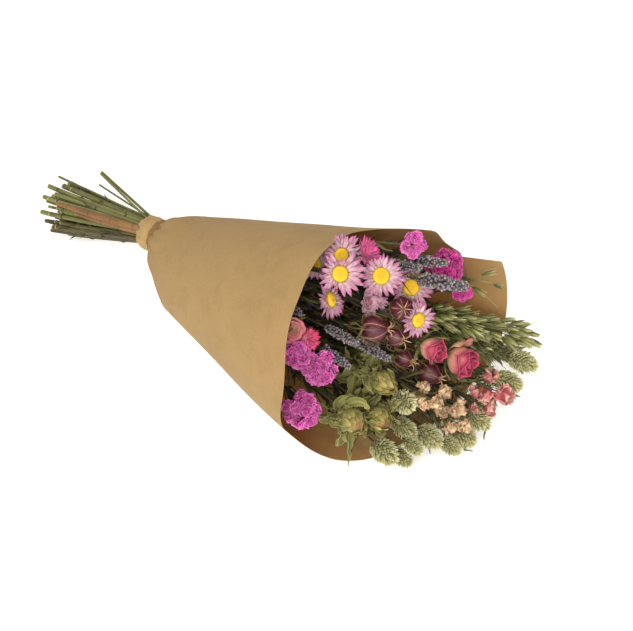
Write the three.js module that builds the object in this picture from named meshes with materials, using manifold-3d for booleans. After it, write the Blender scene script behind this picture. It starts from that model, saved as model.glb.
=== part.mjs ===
// Mixed dried-flower bouquet, bound at the neck and wrapped in kraft paper, lying on its side.
// Millimetres, +Z up, +X from the cut stems to the flowers, origin under the middle of its box.
//
// Every place in the bouquet is given along the axis of the paper cone: "along" from the tied
// neck, "side" to the left of somebody looking along +X, and "up" square to both.

import * as THREE from 'three';
import { mergeVertices } from 'three/addons/utils/BufferGeometryUtils.js';
import { ConvexGeometry } from 'three/addons/geometries/ConvexGeometry.js';
import Module from 'manifold-3d';

const wasm = await Module();
wasm.setup();

// Driving dimensions

const AXIS_TILT = 12.5 * Math.PI / 180;   // the cone lies on its side, so its axis climbs
const NECK_HEIGHT = 57;                   // middle of the tied neck above the surface
const GAP = 0.35;                         // clearance between pieces that rest on each other
const SLIVER = 0.06;                      // slivers that cutting leaves are smaller than this

const PAPER = {
  thickness: 0.9,
  around: 24,
  neckRadius: 14.6,
  neckStart: -13,
  flareAlong: 7,        // the gathered neck runs on this far past the collar
  flareRadius: 18.2,
  flarePower: 0.68,     // and then opens this steeply into the shoulder
  shoulderAlong: 44,
  shoulderRadius: 49.5,
  mouthAlong: 265,
  mouthRadius: 108,
  flattened: 0.04,      // how far the weight presses the underside flat, as a share of the radius
  gatherDepth: 1.1,
  gathers: 7,
};

// The paper's edge as [degrees round from the far side upwards, length from the neck]. The
// sheet was square, and its corner stands at the far side.
const PAPER_CORNER = 15;
const PAPER_EDGE = [
  [PAPER_CORNER - 2, 312], [PAPER_CORNER + 2, 279], [29, 269], [41, 271], [53, 232], [66, 219],
  [92, 221], [122, 233], [157, 248], [180, 241], [200, 232], [235, 258], [270, 280], [300, 296],
  [335, 313],
];

const COLLAR = { start: -14, end: -0.5, inner: 15.3, outer: 16.3, around: 18 };

const STEM = {
  radius: 1.45,
  pitch: 3.0,           // the stems lie packed like a honeycomb in the neck
  sides: 3,
  bendAlong: -14,       // below the collar the bunch bends and fans out
  yaw: 8 * Math.PI / 180,
  dip: 15 * Math.PI / 180,
  shortest: 88,
  longest: 124,
  spread: 1.15 / 90,    // how much wider the fan is for each millimetre below the collar
  endJitter: 1.3,
  neckLength: 9,        // last stretch, which turns into the flower's own direction
};

const EVERLASTING = { petals: 14, rim: 5.2, wall: 0.75, middle: 6 };

const COLOURS = {
  kraft: 0xbb9d6a, kraftLight: 0xc4a270, stem: 0x78774a,
  petalPale: 0xe6b4c8, petalDeep: 0xc93f86, disc: 0xe4b72f,
  rose: 0xc96a6e, rosePeach: 0xd6a083, pod: 0x74394a, lavender: 0x77728c,
  statice: 0xb04f9f, safflower: 0x9aa06a, phalaris: 0xb4b788, oat: 0x8f9a68,
  larkspurPink: 0xc97f80, larkspurCream: 0xc9a98b,
};

// Seeded random numbers

let seed = 20417;
function random() {
  seed = (seed * 1664525 + 1013904223) % 4294967296;
  return seed / 4294967296;
}
const between = (low, high) => low + (high - low) * random();
const GOLDEN = Math.PI * (3 - Math.sqrt(5));

// Frames: from places along the cone's axis to the table's own axes

const cosTilt = Math.cos(AXIS_TILT);
const sinTilt = Math.sin(AXIS_TILT);

function place(along, side, up) {
  return new THREE.Vector3(
    along * cosTilt - up * sinTilt,
    side,
    NECK_HEIGHT + along * sinTilt + up * cosTilt,
  );
}

function direction(along, side, up) {
  return place(along, side, up).sub(place(0, 0, 0)).normalize();
}

// Solids: closed meshes, joined and cut

function solidFrom(positions, indices) {
  const mesh = new wasm.Mesh({
    numProp: 3,
    vertProperties: new Float32Array(positions),
    triVerts: new Uint32Array(indices),
  });
  return new wasm.Manifold(mesh);
}

function solidFromGeometry(geometry) {
  const bare = geometry.clone();
  bare.deleteAttribute('normal');
  bare.deleteAttribute('uv');
  const merged = mergeVertices(bare, 1e-4);
  return solidFrom(merged.attributes.position.array, merged.index.array);
}

function unite(solids) {
  return solids.reduce((whole, solid) => whole.add(solid));
}

function largestBody(solid) {
  const bodies = solid.decompose();
  return bodies.reduce((best, body) => (body.volume() > best.volume() ? body : best));
}

function vertices(solid) {
  const mesh = solid.getMesh();
  const points = [];
  for (let i = 0; i < mesh.vertProperties.length; i += mesh.numProp) {
    points.push(new THREE.Vector3().fromArray(mesh.vertProperties, i));
  }
  return points;
}

// A closed skin over rings of points: every ring has the same count, and a ring of one point
// repeated closes to a tip. The rings run anticlockwise seen against the direction of travel.
function skin(rings) {
  const positions = [];
  const starts = [];
  for (const ring of rings) {
    starts.push(positions.length / 3);
    for (const point of ring) positions.push(point.x, point.y, point.z);
  }
  const indices = [];
  const quad = (a, b, c, d) => indices.push(a, b, c, a, c, d);
  for (let r = 0; r + 1 < rings.length; r += 1) {
    const below = rings[r];
    const above = rings[r + 1];
    const count = Math.max(below.length, above.length);
    for (let i = 0; i < count; i += 1) {
      const next = (i + 1) % count;
      const a = starts[r] + (below.length === 1 ? 0 : i);
      const b = starts[r] + (below.length === 1 ? 0 : next);
      const c = starts[r + 1] + (above.length === 1 ? 0 : next);
      const d = starts[r + 1] + (above.length === 1 ? 0 : i);
      if (below.length === 1) indices.push(a, c, d);
      else if (above.length === 1) indices.push(a, b, c);
      else quad(a, b, c, d);
    }
  }
  const close = (ring, start, flip) => {
    for (let i = 1; i + 1 < ring.length; i += 1) {
      if (flip) indices.push(start, start + i + 1, start + i);
      else indices.push(start, start + i, start + i + 1);
    }
  };
  close(rings[0], starts[0], true);
  close(rings[rings.length - 1], starts[rings.length - 1], false);
  return solidFrom(positions, indices);
}

// A round section of given radius across a direction
function sectionRing(centre, forward, radius, sides, twist = 0) {
  const helper = Math.abs(forward.z) < 0.9 ? new THREE.Vector3(0, 0, 1) : new THREE.Vector3(1, 0, 0);
  const across = new THREE.Vector3().crossVectors(helper, forward).normalize();
  const over = new THREE.Vector3().crossVectors(forward, across);
  const ring = [];
  for (let i = 0; i < sides; i += 1) {
    const angle = twist + i / sides * 2 * Math.PI;
    ring.push(centre.clone()
      .addScaledVector(across, radius * Math.cos(angle))
      .addScaledVector(over, radius * Math.sin(angle)));
  }
  return ring;
}

// A rod through hand-set points, with a radius at each
function rod(points, radii, sides, twist = 0) {
  const rings = points.map((point, i) => {
    const before = points[Math.max(i - 1, 0)];
    const after = points[Math.min(i + 1, points.length - 1)];
    const forward = new THREE.Vector3().subVectors(after, before).normalize();
    return radii[i] === 0 ? [point.clone()] : sectionRing(point, forward, radii[i], sides, twist);
  });
  return skin(rings);
}

// A body of revolution along +Z whose radius a formula may ripple
function turned(heights, around, radiusAt, twistPerRing = 0) {
  const rings = heights.map((height, row) => {
    const ring = [];
    for (let i = 0; i < around; i += 1) {
      const angle = (i + row * twistPerRing) / around * 2 * Math.PI;
      const radius = radiusAt(row, angle, i);
      ring.push(new THREE.Vector3(radius * Math.cos(angle), radius * Math.sin(angle), height));
    }
    return ring;
  });
  return skin(rings);
}

// A blade along a centre line: flat section, widest where the widths say, closing to an edge
function blade(points, widths, normal, thickness) {
  const rings = points.map((point, i) => {
    const before = points[Math.max(i - 1, 0)];
    const after = points[Math.min(i + 1, points.length - 1)];
    const forward = new THREE.Vector3().subVectors(after, before).normalize();
    const across = new THREE.Vector3().crossVectors(normal, forward).normalize();
    const over = new THREE.Vector3().crossVectors(forward, across).normalize();
    if (widths[i] === 0) return [point.clone()];
    const corner = (x, y) => point.clone()
      .addScaledVector(across, x * widths[i] / 2)
      .addScaledVector(over, y * thickness / 2);
    return [corner(1, -1), corner(1, 1), corner(-1, 1), corner(-1, -1)];
  });
  return skin(rings);
}

// Paper wrapper: a cone with a gathered shoulder and a long slanting edge

function paperRadius(along) {
  if (along <= 0) return PAPER.neckRadius;
  if (along < PAPER.flareAlong) {
    return PAPER.neckRadius + (PAPER.flareRadius - PAPER.neckRadius) * along / PAPER.flareAlong;
  }
  if (along < PAPER.shoulderAlong) {
    const share = (along - PAPER.flareAlong) / (PAPER.shoulderAlong - PAPER.flareAlong);
    return PAPER.flareRadius + (PAPER.shoulderRadius - PAPER.flareRadius) * share ** PAPER.flarePower;
  }
  const slope = (PAPER.mouthRadius - PAPER.shoulderRadius) / (PAPER.mouthAlong - PAPER.shoulderAlong);
  return PAPER.shoulderRadius + slope * (along - PAPER.shoulderAlong);
}

// The section's middle, so that the underside of the cone runs along the table
function paperMiddle(along) {
  const resting = (at) => paperRadius(at) - (NECK_HEIGHT + at * sinTilt) / cosTilt;
  if (along <= 0) return 0;
  if (along < PAPER.shoulderAlong) return resting(PAPER.shoulderAlong) * along / PAPER.shoulderAlong;
  return resting(along);
}

// A smooth edge through its points, which never swings past them
function paperEdge(angle) {
  const turn = ((angle * 180 / Math.PI) % 360 + 360) % 360;
  const count = PAPER_EDGE.length;
  const knot = (k) => {
    const lap = Math.floor(k / count);
    const [at, along] = PAPER_EDGE[k - lap * count];
    return [at + 360 * lap, along];
  };
  const found = PAPER_EDGE.findIndex(([at]) => at > turn);
  const next = found < 0 ? count : found;
  const [a, b, c, d] = [next - 2, next - 1, next, next + 1].map(knot);
  const rise = (p, q) => (q[1] - p[1]) / (q[0] - p[0]);
  const slope = (s, t) => (s * t <= 0 ? 0 : 2 * s * t / (s + t));
  const [into, out] = [slope(rise(a, b), rise(b, c)), slope(rise(b, c), rise(c, d))];
  const span = c[0] - b[0];
  const u = (turn - b[0]) / span;
  return b[1] + u * u * (3 - 2 * u) * (c[1] - b[1])
    + span * u * (1 - u) * (into * (1 - u) - out * u);
}

function paperPoint(angle, along, inset) {
  const gathered = Math.max(0, 1 - Math.abs(along - 20) / 19);
  const ripple = PAPER.gatherDepth * gathered * Math.cos(PAPER.gathers * angle);
  const radius = paperRadius(along) + ripple - inset;
  const point = place(along, radius * Math.cos(angle), paperMiddle(along) + radius * Math.sin(angle));
  const whole = paperRadius(along);
  const pressed = along > 0 ? PAPER.flattened * whole * Math.max(0, 1 - point.z / whole) : 0;
  point.z = Math.max(point.z - pressed, inset);
  return point;
}

// The shell between two insets from the outer face
function paperShell(outerInset, innerInset) {
  const neckRows = [PAPER.neckStart, 0, PAPER.flareAlong, 13, 26, PAPER.shoulderAlong];
  const mouthRows = [0.33, 0.67, 1];
  const profile = (angle, inset) => {
    const edge = paperEdge(angle);
    const rest = mouthRows.map((share) => PAPER.shoulderAlong + share * (edge - PAPER.shoulderAlong));
    return [...neckRows, ...rest].map((along) => paperPoint(angle, along, inset));
  };
  const turns = Array.from({ length: PAPER.around }, (unused, i) => i / PAPER.around * 360 - 90)
    .flatMap((turn) => (turn === PAPER_CORNER ? [turn - 2, turn + 2] : [turn]));
  const columns = turns.map((turn) => {
    const angle = turn * Math.PI / 180;
    return [...profile(angle, outerInset), ...profile(angle, innerInset).reverse()];
  });
  const rows = columns[0].length;
  const positions = columns.flat().flatMap((point) => [point.x, point.y, point.z]);
  const indices = [];
  for (let i = 0; i < columns.length; i += 1) {
    const next = (i + 1) % columns.length;
    for (let r = 0; r < rows; r += 1) {
      const up = (r + 1) % rows;
      const [a, b, c, d] = [i * rows + r, next * rows + r, next * rows + up, i * rows + up];
      indices.push(a, b, c, a, c, d);
    }
  }
  return solidFrom(positions, indices);
}

// Paper collar: a band wrapped round the gathered neck

function paperCollar() {
  const corners = [
    [COLLAR.start, COLLAR.inner], [COLLAR.start, COLLAR.outer - 0.5], [-7, COLLAR.outer + 0.3],
    [COLLAR.end, COLLAR.outer - 0.2], [COLLAR.end, COLLAR.inner],
  ];
  const positions = [];
  const indices = [];
  for (let i = 0; i < COLLAR.around; i += 1) {
    const angle = i / COLLAR.around * 2 * Math.PI;
    for (const [along, radius] of corners) {
      const point = place(along, radius * Math.cos(angle), radius * Math.sin(angle));
      positions.push(point.x, point.y, point.z);
    }
    const next = (i + 1) % COLLAR.around;
    for (let r = 0; r < corners.length; r += 1) {
      const up = (r + 1) % corners.length;
      const [a, b] = [i * corners.length + r, next * corners.length + r];
      const [c, d] = [next * corners.length + up, i * corners.length + up];
      indices.push(a, b, c, a, c, d);
    }
  }
  return solidFrom(positions, indices);
}

// Heads. Each is built with its base at the origin and grows along +Z.

// Everlasting daisy: a cup of bracts that splits at its edge into stiff pointed petals. Every
// other petal stands higher, as the inner layer does.
function everlastingPetals({ radius, low, high, closed }) {
  const { petals, rim, wall } = EVERLASTING;
  const cup = radius * 0.44;
  const petalRing = (rise) => {
    const ring = [];
    for (let i = 0; i < petals * 2; i += 1) {
      const angle = i / (petals * 2) * 2 * Math.PI;
      const lift = i % 4 === 0 ? high : low;
      const reach = (radius - cup * 0.8) * (i % 2 ? 0.42 : between(0.93, 1.05));
      const tilt = i % 2 ? (low + high) / 2 : lift;
      const distance = cup * 0.8 + reach * Math.cos(tilt);
      const height = rim - 1 + reach * Math.sin(tilt) + rise;
      ring.push(new THREE.Vector3(distance * Math.cos(angle), distance * Math.sin(angle), height));
    }
    return ring;
  };
  const evenRing = (distance, height) => {
    const ring = [];
    for (let i = 0; i < petals * 2; i += 1) {
      const angle = i / (petals * 2) * 2 * Math.PI;
      ring.push(new THREE.Vector3(distance * Math.cos(angle), distance * Math.sin(angle), height));
    }
    return ring;
  };
  const under = petalRing(0);
  const over = under.map((point) => point.clone().setZ(point.z + wall));
  const bottom = new THREE.Vector3(0, 0, 0);
  const heart = [evenRing(cup * 0.95, rim)];
  if (closed) heart.push(evenRing(cup * 0.62, rim + 4.5));
  heart.push([new THREE.Vector3(0, 0, closed ? rim + 5.5 : rim)]);
  return skin([[bottom], evenRing(cup, rim - 1.2), under, over, ...heart]);
}

function everlastingDisc(radius) {
  const seat = EVERLASTING.rim + GAP;
  const heights = [seat, seat + 1.8, seat + 3.4];
  const share = [0.92, 0.96, 0.4];
  const grain = (row, i) => (row === 1 ? 0.3 * (i % 2 ? 1 : -1) : 0);
  return turned(heights, 10, (row, angle, i) => radius * share[row] + grain(row, i), 0.5);
}

// Rose: a bud of petals wound round each other, opening towards the rim
function rosePetals({ radius, length, layers, flare }) {
  const bud = turned([0.6, length * 0.35, length * 0.7, length * 0.92], 7,
    (row) => [1.6, radius * 0.62, radius * 0.55, radius * 0.16][row]);
  const parts = [bud];
  for (let i = 0; i < layers; i += 1) {
    const turn = i * GOLDEN;
    const out = 0.6 + 0.4 * (i + 1) / layers;
    const half = 1.05 - 0.08 * i;
    const rings = [0, 0.55, 1].map((share) => {
      const open = share > 0.7 ? flare * out * (share - 0.7) : 0;
      const belly = Math.sin(Math.min(1, share * 1.5 + 0.12) * Math.PI / 2);
      const distance = radius * (out * belly + open) * (share > 0.9 ? 0.97 : 1);
      const z = 0.8 + length * share * (0.82 + 0.1 * (layers - i) / layers);
      const spanAt = half * (share > 0.9 ? 0.5 : 1) * (share < 0.1 ? 0.8 : 1);
      const wall = 0.85;
      const arc = [-1, 0, 1].map((side) => turn + side * spanAt);
      const outer = arc.map((a) => new THREE.Vector3(Math.cos(a), Math.sin(a), 0).multiplyScalar(distance));
      const inner = arc.map((a) => new THREE.Vector3(Math.cos(a), Math.sin(a), 0)
        .multiplyScalar(Math.max(distance - wall, 0.4)));
      return [...outer, ...inner.reverse()].map((point) => point.setZ(z));
    });
    parts.push(skin(rings));
  }
  return unite(parts);
}

// Love-in-a-mist pod: a ribbed balloon with a crown of horns and a ruff of thread leaves
function nigellaPod({ radius, length }) {
  const heights = [0, 0.18, 0.5, 0.82, 1].map((share) => share * length);
  const swell = [0.22, 0.74, 1, 0.72, 0.26];
  const rib = (angle) => 1 + 0.07 * Math.cos(5 * angle);
  const parts = [turned(heights, 10, (row, angle) => radius * swell[row] * rib(angle))];
  for (let i = 0; i < 5; i += 1) {
    const angle = i / 5 * 2 * Math.PI;
    const out = new THREE.Vector3(Math.cos(angle), Math.sin(angle), 0);
    const at = (reach, rise) => out.clone().multiplyScalar(reach).setZ(length + rise);
    parts.push(rod([at(1.4, -1.2), at(3.6, 2.4), at(6.6, 4.2)], [0.9, 0.75, 0], 3, angle));
  }
  for (let i = 0; i < 4; i += 1) {
    const angle = (i + 0.5) / 4 * 2 * Math.PI;
    const out = new THREE.Vector3(Math.cos(angle), Math.sin(angle), 0);
    const at = (reach, rise) => out.clone().multiplyScalar(reach).setZ(rise);
    parts.push(rod([at(0.6, 0.7), at(radius * 1.05, 0.9), at(radius * 1.3, 6)], [0.7, 0.6, 0], 3, angle));
  }
  return unite(parts);
}

// Lavender: whorls of small buds one above the other
function lavenderSpike({ radius, length }) {
  const whorls = Math.max(3, Math.round(length / 8));
  const rows = whorls * 2 + 1;
  const heights = Array.from({ length: rows }, (unused, row) => row / (rows - 1) * length);
  return turned(heights, 6, (row, angle, i) => {
    const share = row / (rows - 1);
    const envelope = 0.72 + 0.5 * Math.sin(Math.PI * Math.min(1, share + 0.12));
    const whorl = row % 2 ? 1 : 0.5;
    const bud = row % 2 ? (i % 2 ? 1.08 : 0.8) : 1;
    const tip = row === 0 || row === rows - 1 ? 0.5 : 1;
    return radius * 0.86 * envelope * whorl * bud * tip;
  }, 0.5);
}

// A papery funnel floret with notched edge, opening along a direction
function floret(base, outward, radius, depth, lobes, spin) {
  const tipRing = sectionRing(base.clone().addScaledVector(outward, depth), outward, radius, lobes * 2, spin);
  const centre = base.clone().addScaledVector(outward, depth);
  const star = tipRing.map((point, i) => (
    i % 2 ? point.lerp(centre, 0.42) : point.addScaledVector(outward, 0.9)));
  const top = base.clone().addScaledVector(outward, depth * 0.55);
  return skin([[base], star, [top]]);
}

// Statice: a flat-topped tuft of papery funnel florets on a branching core
function staticeHead({ radius, length, florets }) {
  const rows = [0, 0.25, 0.55, 0.85].map((share) => share * length);
  const core = turned(rows, 7, (row) => radius * [0.18, 0.5, 0.62, 0.3][row]);
  const parts = [core];
  for (let i = 0; i < florets; i += 1) {
    const share = (i + 0.5) / florets;
    const polar = Math.acos(1 - share * 1.55);
    const angle = i * GOLDEN;
    const outward = new THREE.Vector3(
      Math.sin(polar) * Math.cos(angle), Math.sin(polar) * Math.sin(angle), Math.cos(polar));
    const middle = new THREE.Vector3(0, 0, length * 0.5);
    const reach = 1 / Math.hypot(Math.sin(polar) / (radius * 0.5), Math.cos(polar) / (length * 0.36));
    const base = middle.addScaledVector(outward, reach * 0.8);
    const size = radius * between(0.36, 0.42);
    parts.push(floret(base, outward, size, radius * 0.42, 3, between(0, 2)));
  }
  return unite(parts);
}

// Canary grass: an egg-shaped head of overlapping keeled scales
function phalarisHead({ radius, length }) {
  const shares = [0, 0.2, 0.5, 0.8, 1];
  const envelope = [0.3, 0.88, 1.02, 0.7, 0.16];
  const heights = shares.map((share) => share * length);
  return turned(heights, 7, (row, angle, i) => {
    const scale = (row + i) % 2 ? 1.08 : 0.88;
    return radius * envelope[row] * (row === 0 || row === 4 ? 1 : scale);
  }, 0.5);
}

// One oat spikelet on its hair-thin stalk: two long pointed husks closed round the grain
function oatSpikelet(root, knee, forward, length) {
  const at = (share) => knee.clone().addScaledVector(forward, share * length);
  return rod([root, at(0.12), at(0.5), at(1)], [0.5, 1.3, 2.2, 0], 3);
}

// Oat panicle: spikelets hanging along a thin rachis, all swept forwards
function oatPanicle({ radius, length }) {
  const tip = new THREE.Vector3(0, 0, length * 0.6);
  const parts = [rod([new THREE.Vector3(0, 0, 0), tip], [1.1, 0.8], 3)];
  const count = 4;
  for (let i = 0; i < count; i += 1) {
    const share = i / (count - 1);
    const angle = i * GOLDEN;
    const out = new THREE.Vector3(Math.cos(angle), Math.sin(angle), 0);
    const root = new THREE.Vector3(0, 0, length * (0.04 + 0.52 * share));
    const knee = root.clone().addScaledVector(out, radius * (0.6 - 0.36 * share)).setZ(root.z + 3);
    const forward = new THREE.Vector3(out.x * 0.22, out.y * 0.22, 1).normalize();
    parts.push(oatSpikelet(root, knee, forward, length * 0.46));
  }
  return unite(parts);
}

// Larkspur: a spike of crumpled cupped florets
function larkspurSpike({ radius, length }) {
  const parts = [rod([new THREE.Vector3(0, 0, 0), new THREE.Vector3(0, 0, length * 0.9)], [1.3, 0.9], 4)];
  const count = 6;
  for (let i = 0; i < count; i += 1) {
    const share = i / (count - 1);
    const angle = i * GOLDEN;
    const lift = 0.35 + 0.9 * share;
    const outward = new THREE.Vector3(
      Math.cos(angle) * Math.cos(lift), Math.sin(angle) * Math.cos(lift), Math.sin(lift));
    const base = new THREE.Vector3(0, 0, length * (0.1 + 0.72 * share));
    const size = radius * between(0.5, 0.6) * (1 - 0.25 * share);
    parts.push(floret(base, outward, size, radius * (0.72 - 0.2 * share), 3, between(0, 2)));
  }
  return unite(parts);
}

// Safflower: a green bulb in a ruff of spine-tipped leafy bracts
function safflowerHead({ radius, length }) {
  const heights = [0, 0.2, 0.48, 0.76, 0.95].map((share) => share * length);
  const swell = [0.25, 0.62, 0.78, 0.6, 0.3];
  const parts = [turned(heights, 7, (row) => radius * swell[row])];
  const bracts = 8;
  for (let i = 0; i < bracts; i += 1) {
    const ring = i / bracts;
    const angle = i * GOLDEN;
    const open = ring < 0.5 ? 0.62 : 0.12;
    const root = new THREE.Vector3(Math.cos(angle), Math.sin(angle), 0).multiplyScalar(radius * 0.42);
    root.z = length * (0.1 + 0.4 * ring);
    const forward = new THREE.Vector3(
      Math.cos(angle) * Math.sin(open + 0.5), Math.sin(angle) * Math.sin(open + 0.5), Math.cos(open + 0.5));
    const reach = length * (ring < 0.5 ? 0.85 : 0.6);
    const knee = root.clone().addScaledVector(forward, reach * 0.5);
    const tip = knee.clone().addScaledVector(forward, reach * 0.4).add(new THREE.Vector3(0, 0, 2));
    const normal = new THREE.Vector3(-Math.cos(angle), -Math.sin(angle), 0.6).normalize();
    parts.push(blade([root, knee, tip], [radius * 0.4, radius * 0.6, 0], normal, 0.85));
  }
  return unite(parts);
}

// Planting plan, kind by kind: the middle of each head, the side it faces, the bunch its stem
// belongs to, and its size. "face" mixes the stem's own direction with the side that the flowers
// turn to, up and outwards; "lean" gives a direction outright.

const OPEN_SIDE = direction(0.53, -0.46, 0.71);
const FACING = { stem: 0, grass: 0.1, little: 0.3, half: 0.55, open: 0.9 };

const PLANTING = {
  everlasting: [
    { at: [226, 17, 72], face: 'open', bunch: 'everlasting', size: { radius: 18, disc: 6 } },
    { at: [246, -7, 81], face: 'open', bunch: 'everlasting', size: { radius: 19, disc: 6.8 } },
    { at: [204, 5, 61], face: 'open', bunch: 'everlasting', size: { radius: 15, disc: 6 } },
    { at: [236, -14, 52], lean: [0.85, 0.39, 0.35], bunch: 'everlasting', size: { radius: 16, disc: 6.6 } },
    { at: [264, 20, 64], face: 'open', bunch: 'everlasting', size: { radius: 18, disc: 7.2 } },
    { at: [274, 42, 36], face: 'open', bunch: 'everlasting', size: { radius: 18, disc: 7 } },
    { at: [292, 25, 22], lean: [0.88, -0.17, 0.35], bunch: 'everlasting', size: { radius: 16, disc: 6.4 } },
    { at: [242, 32, 70], lean: [0.75, 0.55, 0.45], bunch: 'everlasting', size: { radius: 15, deep: true } },
    { at: [228, -41, 24], face: 'half', bunch: 'left', size: { radius: 13, closed: true, deep: true } },
    { at: [244, 22, 20], face: 'half', bunch: 'everlasting', size: { radius: 13, closed: true } },
  ],
  statice: [
    { at: [224, -53, 18], face: 'little', bunch: 'left', size: { radius: 14, length: 22, florets: 9 } },
    { at: [238, -46, -2], face: 'little', bunch: 'left', size: { radius: 15, length: 24, florets: 9 } },
    { at: [236, -74, -28], face: 'little', bunch: 'left', size: { radius: 16, length: 34, florets: 10 } },
    { at: [274, 54, 76], face: 'little', bunch: 'right', size: { radius: 13, length: 20, florets: 8 } },
    { at: [284, 77, 33], face: 'little', bunch: 'right', size: { radius: 18, length: 30, florets: 10 } },
    { at: [298, 78, 10], face: 'little', bunch: 'right', size: { radius: 10, length: 24, florets: 7 } },
  ],
  lavender: [
    { at: [242, -16, 13], face: 'stem', bunch: 'left', size: { radius: 5.4, length: 36 } },
    { at: [258, -1, -10], face: 'stem', bunch: 'centre', size: { radius: 6, length: 38 } },
    { at: [244, -30, 0], face: 'stem', bunch: 'left', size: { radius: 5.4, length: 33 } },
    { at: [266, 45, 55], face: 'stem', bunch: 'right', size: { radius: 6, length: 34 } },
    { at: [282, 60, 55], face: 'stem', bunch: 'right', size: { radius: 6, length: 34 } },
    { at: [302, 51, 48], face: 'stem', bunch: 'right', size: { radius: 7.4, length: 44 } },
    { at: [214, -35, 46], face: 'stem', bunch: 'everlasting', size: { radius: 4.4, length: 20 } },
  ],
  nigella: [
    { at: [262, 4, 14], lean: [0.9, 0.36, 0.14], bunch: 'centre', size: { radius: 11.5, length: 23 } },
    { at: [278, 23, 30], face: 'open', bunch: 'everlasting', size: { radius: 9.6, length: 18 } },
    { at: [276, 13, 3], face: 'little', bunch: 'centre', size: { radius: 8, length: 16 } },
    { at: [272, 22, -35], face: 'little', bunch: 'centre', size: { radius: 8, length: 16 } },
    { at: [288, 34, -58], face: 'little', bunch: 'centre', size: { radius: 11, length: 21 } },
  ],
  rose: [
    {
      at: [300, 28, -14], lean: [0.87, -0.14, 0.06], bunch: 'centre',
      size: { radius: 11, length: 24, layers: 4, flare: 0.5 },
    },
    {
      at: [312, 49, -41], lean: [0.88, 0.04, -0.04], bunch: 'centre',
      size: { radius: 14, length: 27, layers: 5, flare: 1.1 },
    },
    {
      at: [218, -48, 38], face: 'half', bunch: 'left',
      size: { radius: 10, length: 20, layers: 3, flare: 0.4 },
    },
  ],
  safflower: [
    { at: [280, -59, -31], face: 'half', bunch: 'safflower', size: { radius: 14.5, length: 25 } },
    { at: [288, -37, -46], face: 'half', bunch: 'safflower', size: { radius: 14, length: 25 } },
    { at: [276, -12, -31], face: 'little', bunch: 'safflower', size: { radius: 12, length: 23 } },
  ],
  phalaris: [
    { at: [352, 83, -53], face: 'grass', bunch: 'phalaris', size: { radius: 9, length: 27 } },
    { at: [344, 70, -71], face: 'grass', bunch: 'phalaris', size: { radius: 9, length: 27 } },
    { at: [332, 37, -96], face: 'grass', bunch: 'phalaris', size: { radius: 9.5, length: 26 } },
    { at: [326, 21, -106], face: 'grass', bunch: 'phalaris', size: { radius: 10, length: 27 } },
    { at: [324, 6, -106], face: 'grass', bunch: 'phalaris', size: { radius: 7.5, length: 23 } },
    { at: [308, -2, -95], face: 'grass', bunch: 'phalaris', size: { radius: 9.5, length: 27 } },
    { at: [292, -14, -81], face: 'grass', bunch: 'phalaris', size: { radius: 8.5, length: 26 } },
    { at: [292, -8, -51], face: 'half', bunch: 'phalaris', size: { radius: 9.5, length: 25 } },
    { at: [308, -23, -86], face: 'grass', bunch: 'phalaris', size: { radius: 7, length: 22 } },
    { at: [292, -43, -82], face: 'grass', bunch: 'phalaris', size: { radius: 10, length: 27 } },
    { at: [298, -29, -102], face: 'grass', bunch: 'phalaris', size: { radius: 7.5, length: 23 } },
  ],
  oat: [
    { at: [288, 62, -13], face: 'stem', bunch: 'oat', size: { radius: 9, length: 36 } },
    { at: [302, 78, -27], face: 'stem', bunch: 'oat', size: { radius: 9, length: 36 } },
    { at: [316, 89, -37], face: 'stem', bunch: 'oat', size: { radius: 9, length: 36 } },
    { at: [342, 94, -34], face: 'stem', bunch: 'oat', size: { radius: 9, length: 34 } },
    { at: [310, 80, -54], face: 'stem', bunch: 'oat', size: { radius: 9, length: 34 } },
    { at: [324, 98, -68], face: 'stem', bunch: 'oat', size: { radius: 9, length: 34 } },
    { at: [312, 96, 14], face: 'stem', bunch: 'oat', size: { radius: 7, length: 30 } },
    { at: [294, 69, -41], face: 'stem', bunch: 'oat', size: { radius: 8, length: 32 } },
  ],
  larkspur: [
    { at: [302, 9, -55], face: 'little', bunch: 'larkspur_cream', size: { radius: 10.5, length: 28 } },
    { at: [310, 23, -73], face: 'little', bunch: 'larkspur_cream', size: { radius: 12, length: 28 } },
    { at: [322, 16, -82], face: 'little', bunch: 'larkspur_cream', size: { radius: 10.5, length: 24 } },
    { at: [334, 57, -73], face: 'little', bunch: 'larkspur_pink', size: { radius: 12, length: 28 } },
    { at: [324, 48, -90], face: 'little', bunch: 'larkspur_pink', size: { radius: 10.5, length: 24 } },
  ],
};

// Every head of the plan, with its middle, its direction and the base that its stem reaches
const PLAN = Object.entries(PLANTING).flatMap(([kind, heads]) => heads.map((head, i) => {
  const middle = place(...head.at);
  const stemWay = direction(...head.at);
  const way = head.lean
    ? direction(...head.lean)
    : stemWay.lerp(OPEN_SIDE, FACING[head.face]).normalize();
  const height = kind === 'everlasting' ? EVERLASTING.middle : head.size.length / 2;
  return { ...head, kind, name: `${kind}_${i + 1}`, way, base: middle.addScaledVector(way, -height) };
}));

// Stems: packed in the neck so that the bunch opens like a fan and no two stems cross

function neckCells(count) {
  const cells = [];
  for (let row = -6; row <= 6; row += 1) {
    for (let column = -6; column <= 6; column += 1) {
      const side = (column + (row & 1) / 2) * STEM.pitch;
      const up = row * STEM.pitch * Math.sqrt(3) / 2;
      cells.push({ side, up, reach: Math.hypot(side, up) + 0.001 * side });
    }
  }
  return cells.sort((a, b) => a.reach - b.reach).slice(0, count);
}

// Where a flower's stem would meet a plane one length unit from the neck
function fanPlace(flower) {
  const turnIn = flower.base.clone().addScaledVector(flower.way, -STEM.neckLength).sub(place(0, 0, 0));
  const along = turnIn.dot(direction(1, 0, 0));
  return { side: turnIn.y / along, up: turnIn.dot(direction(0, 0, 1)) / along };
}

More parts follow.
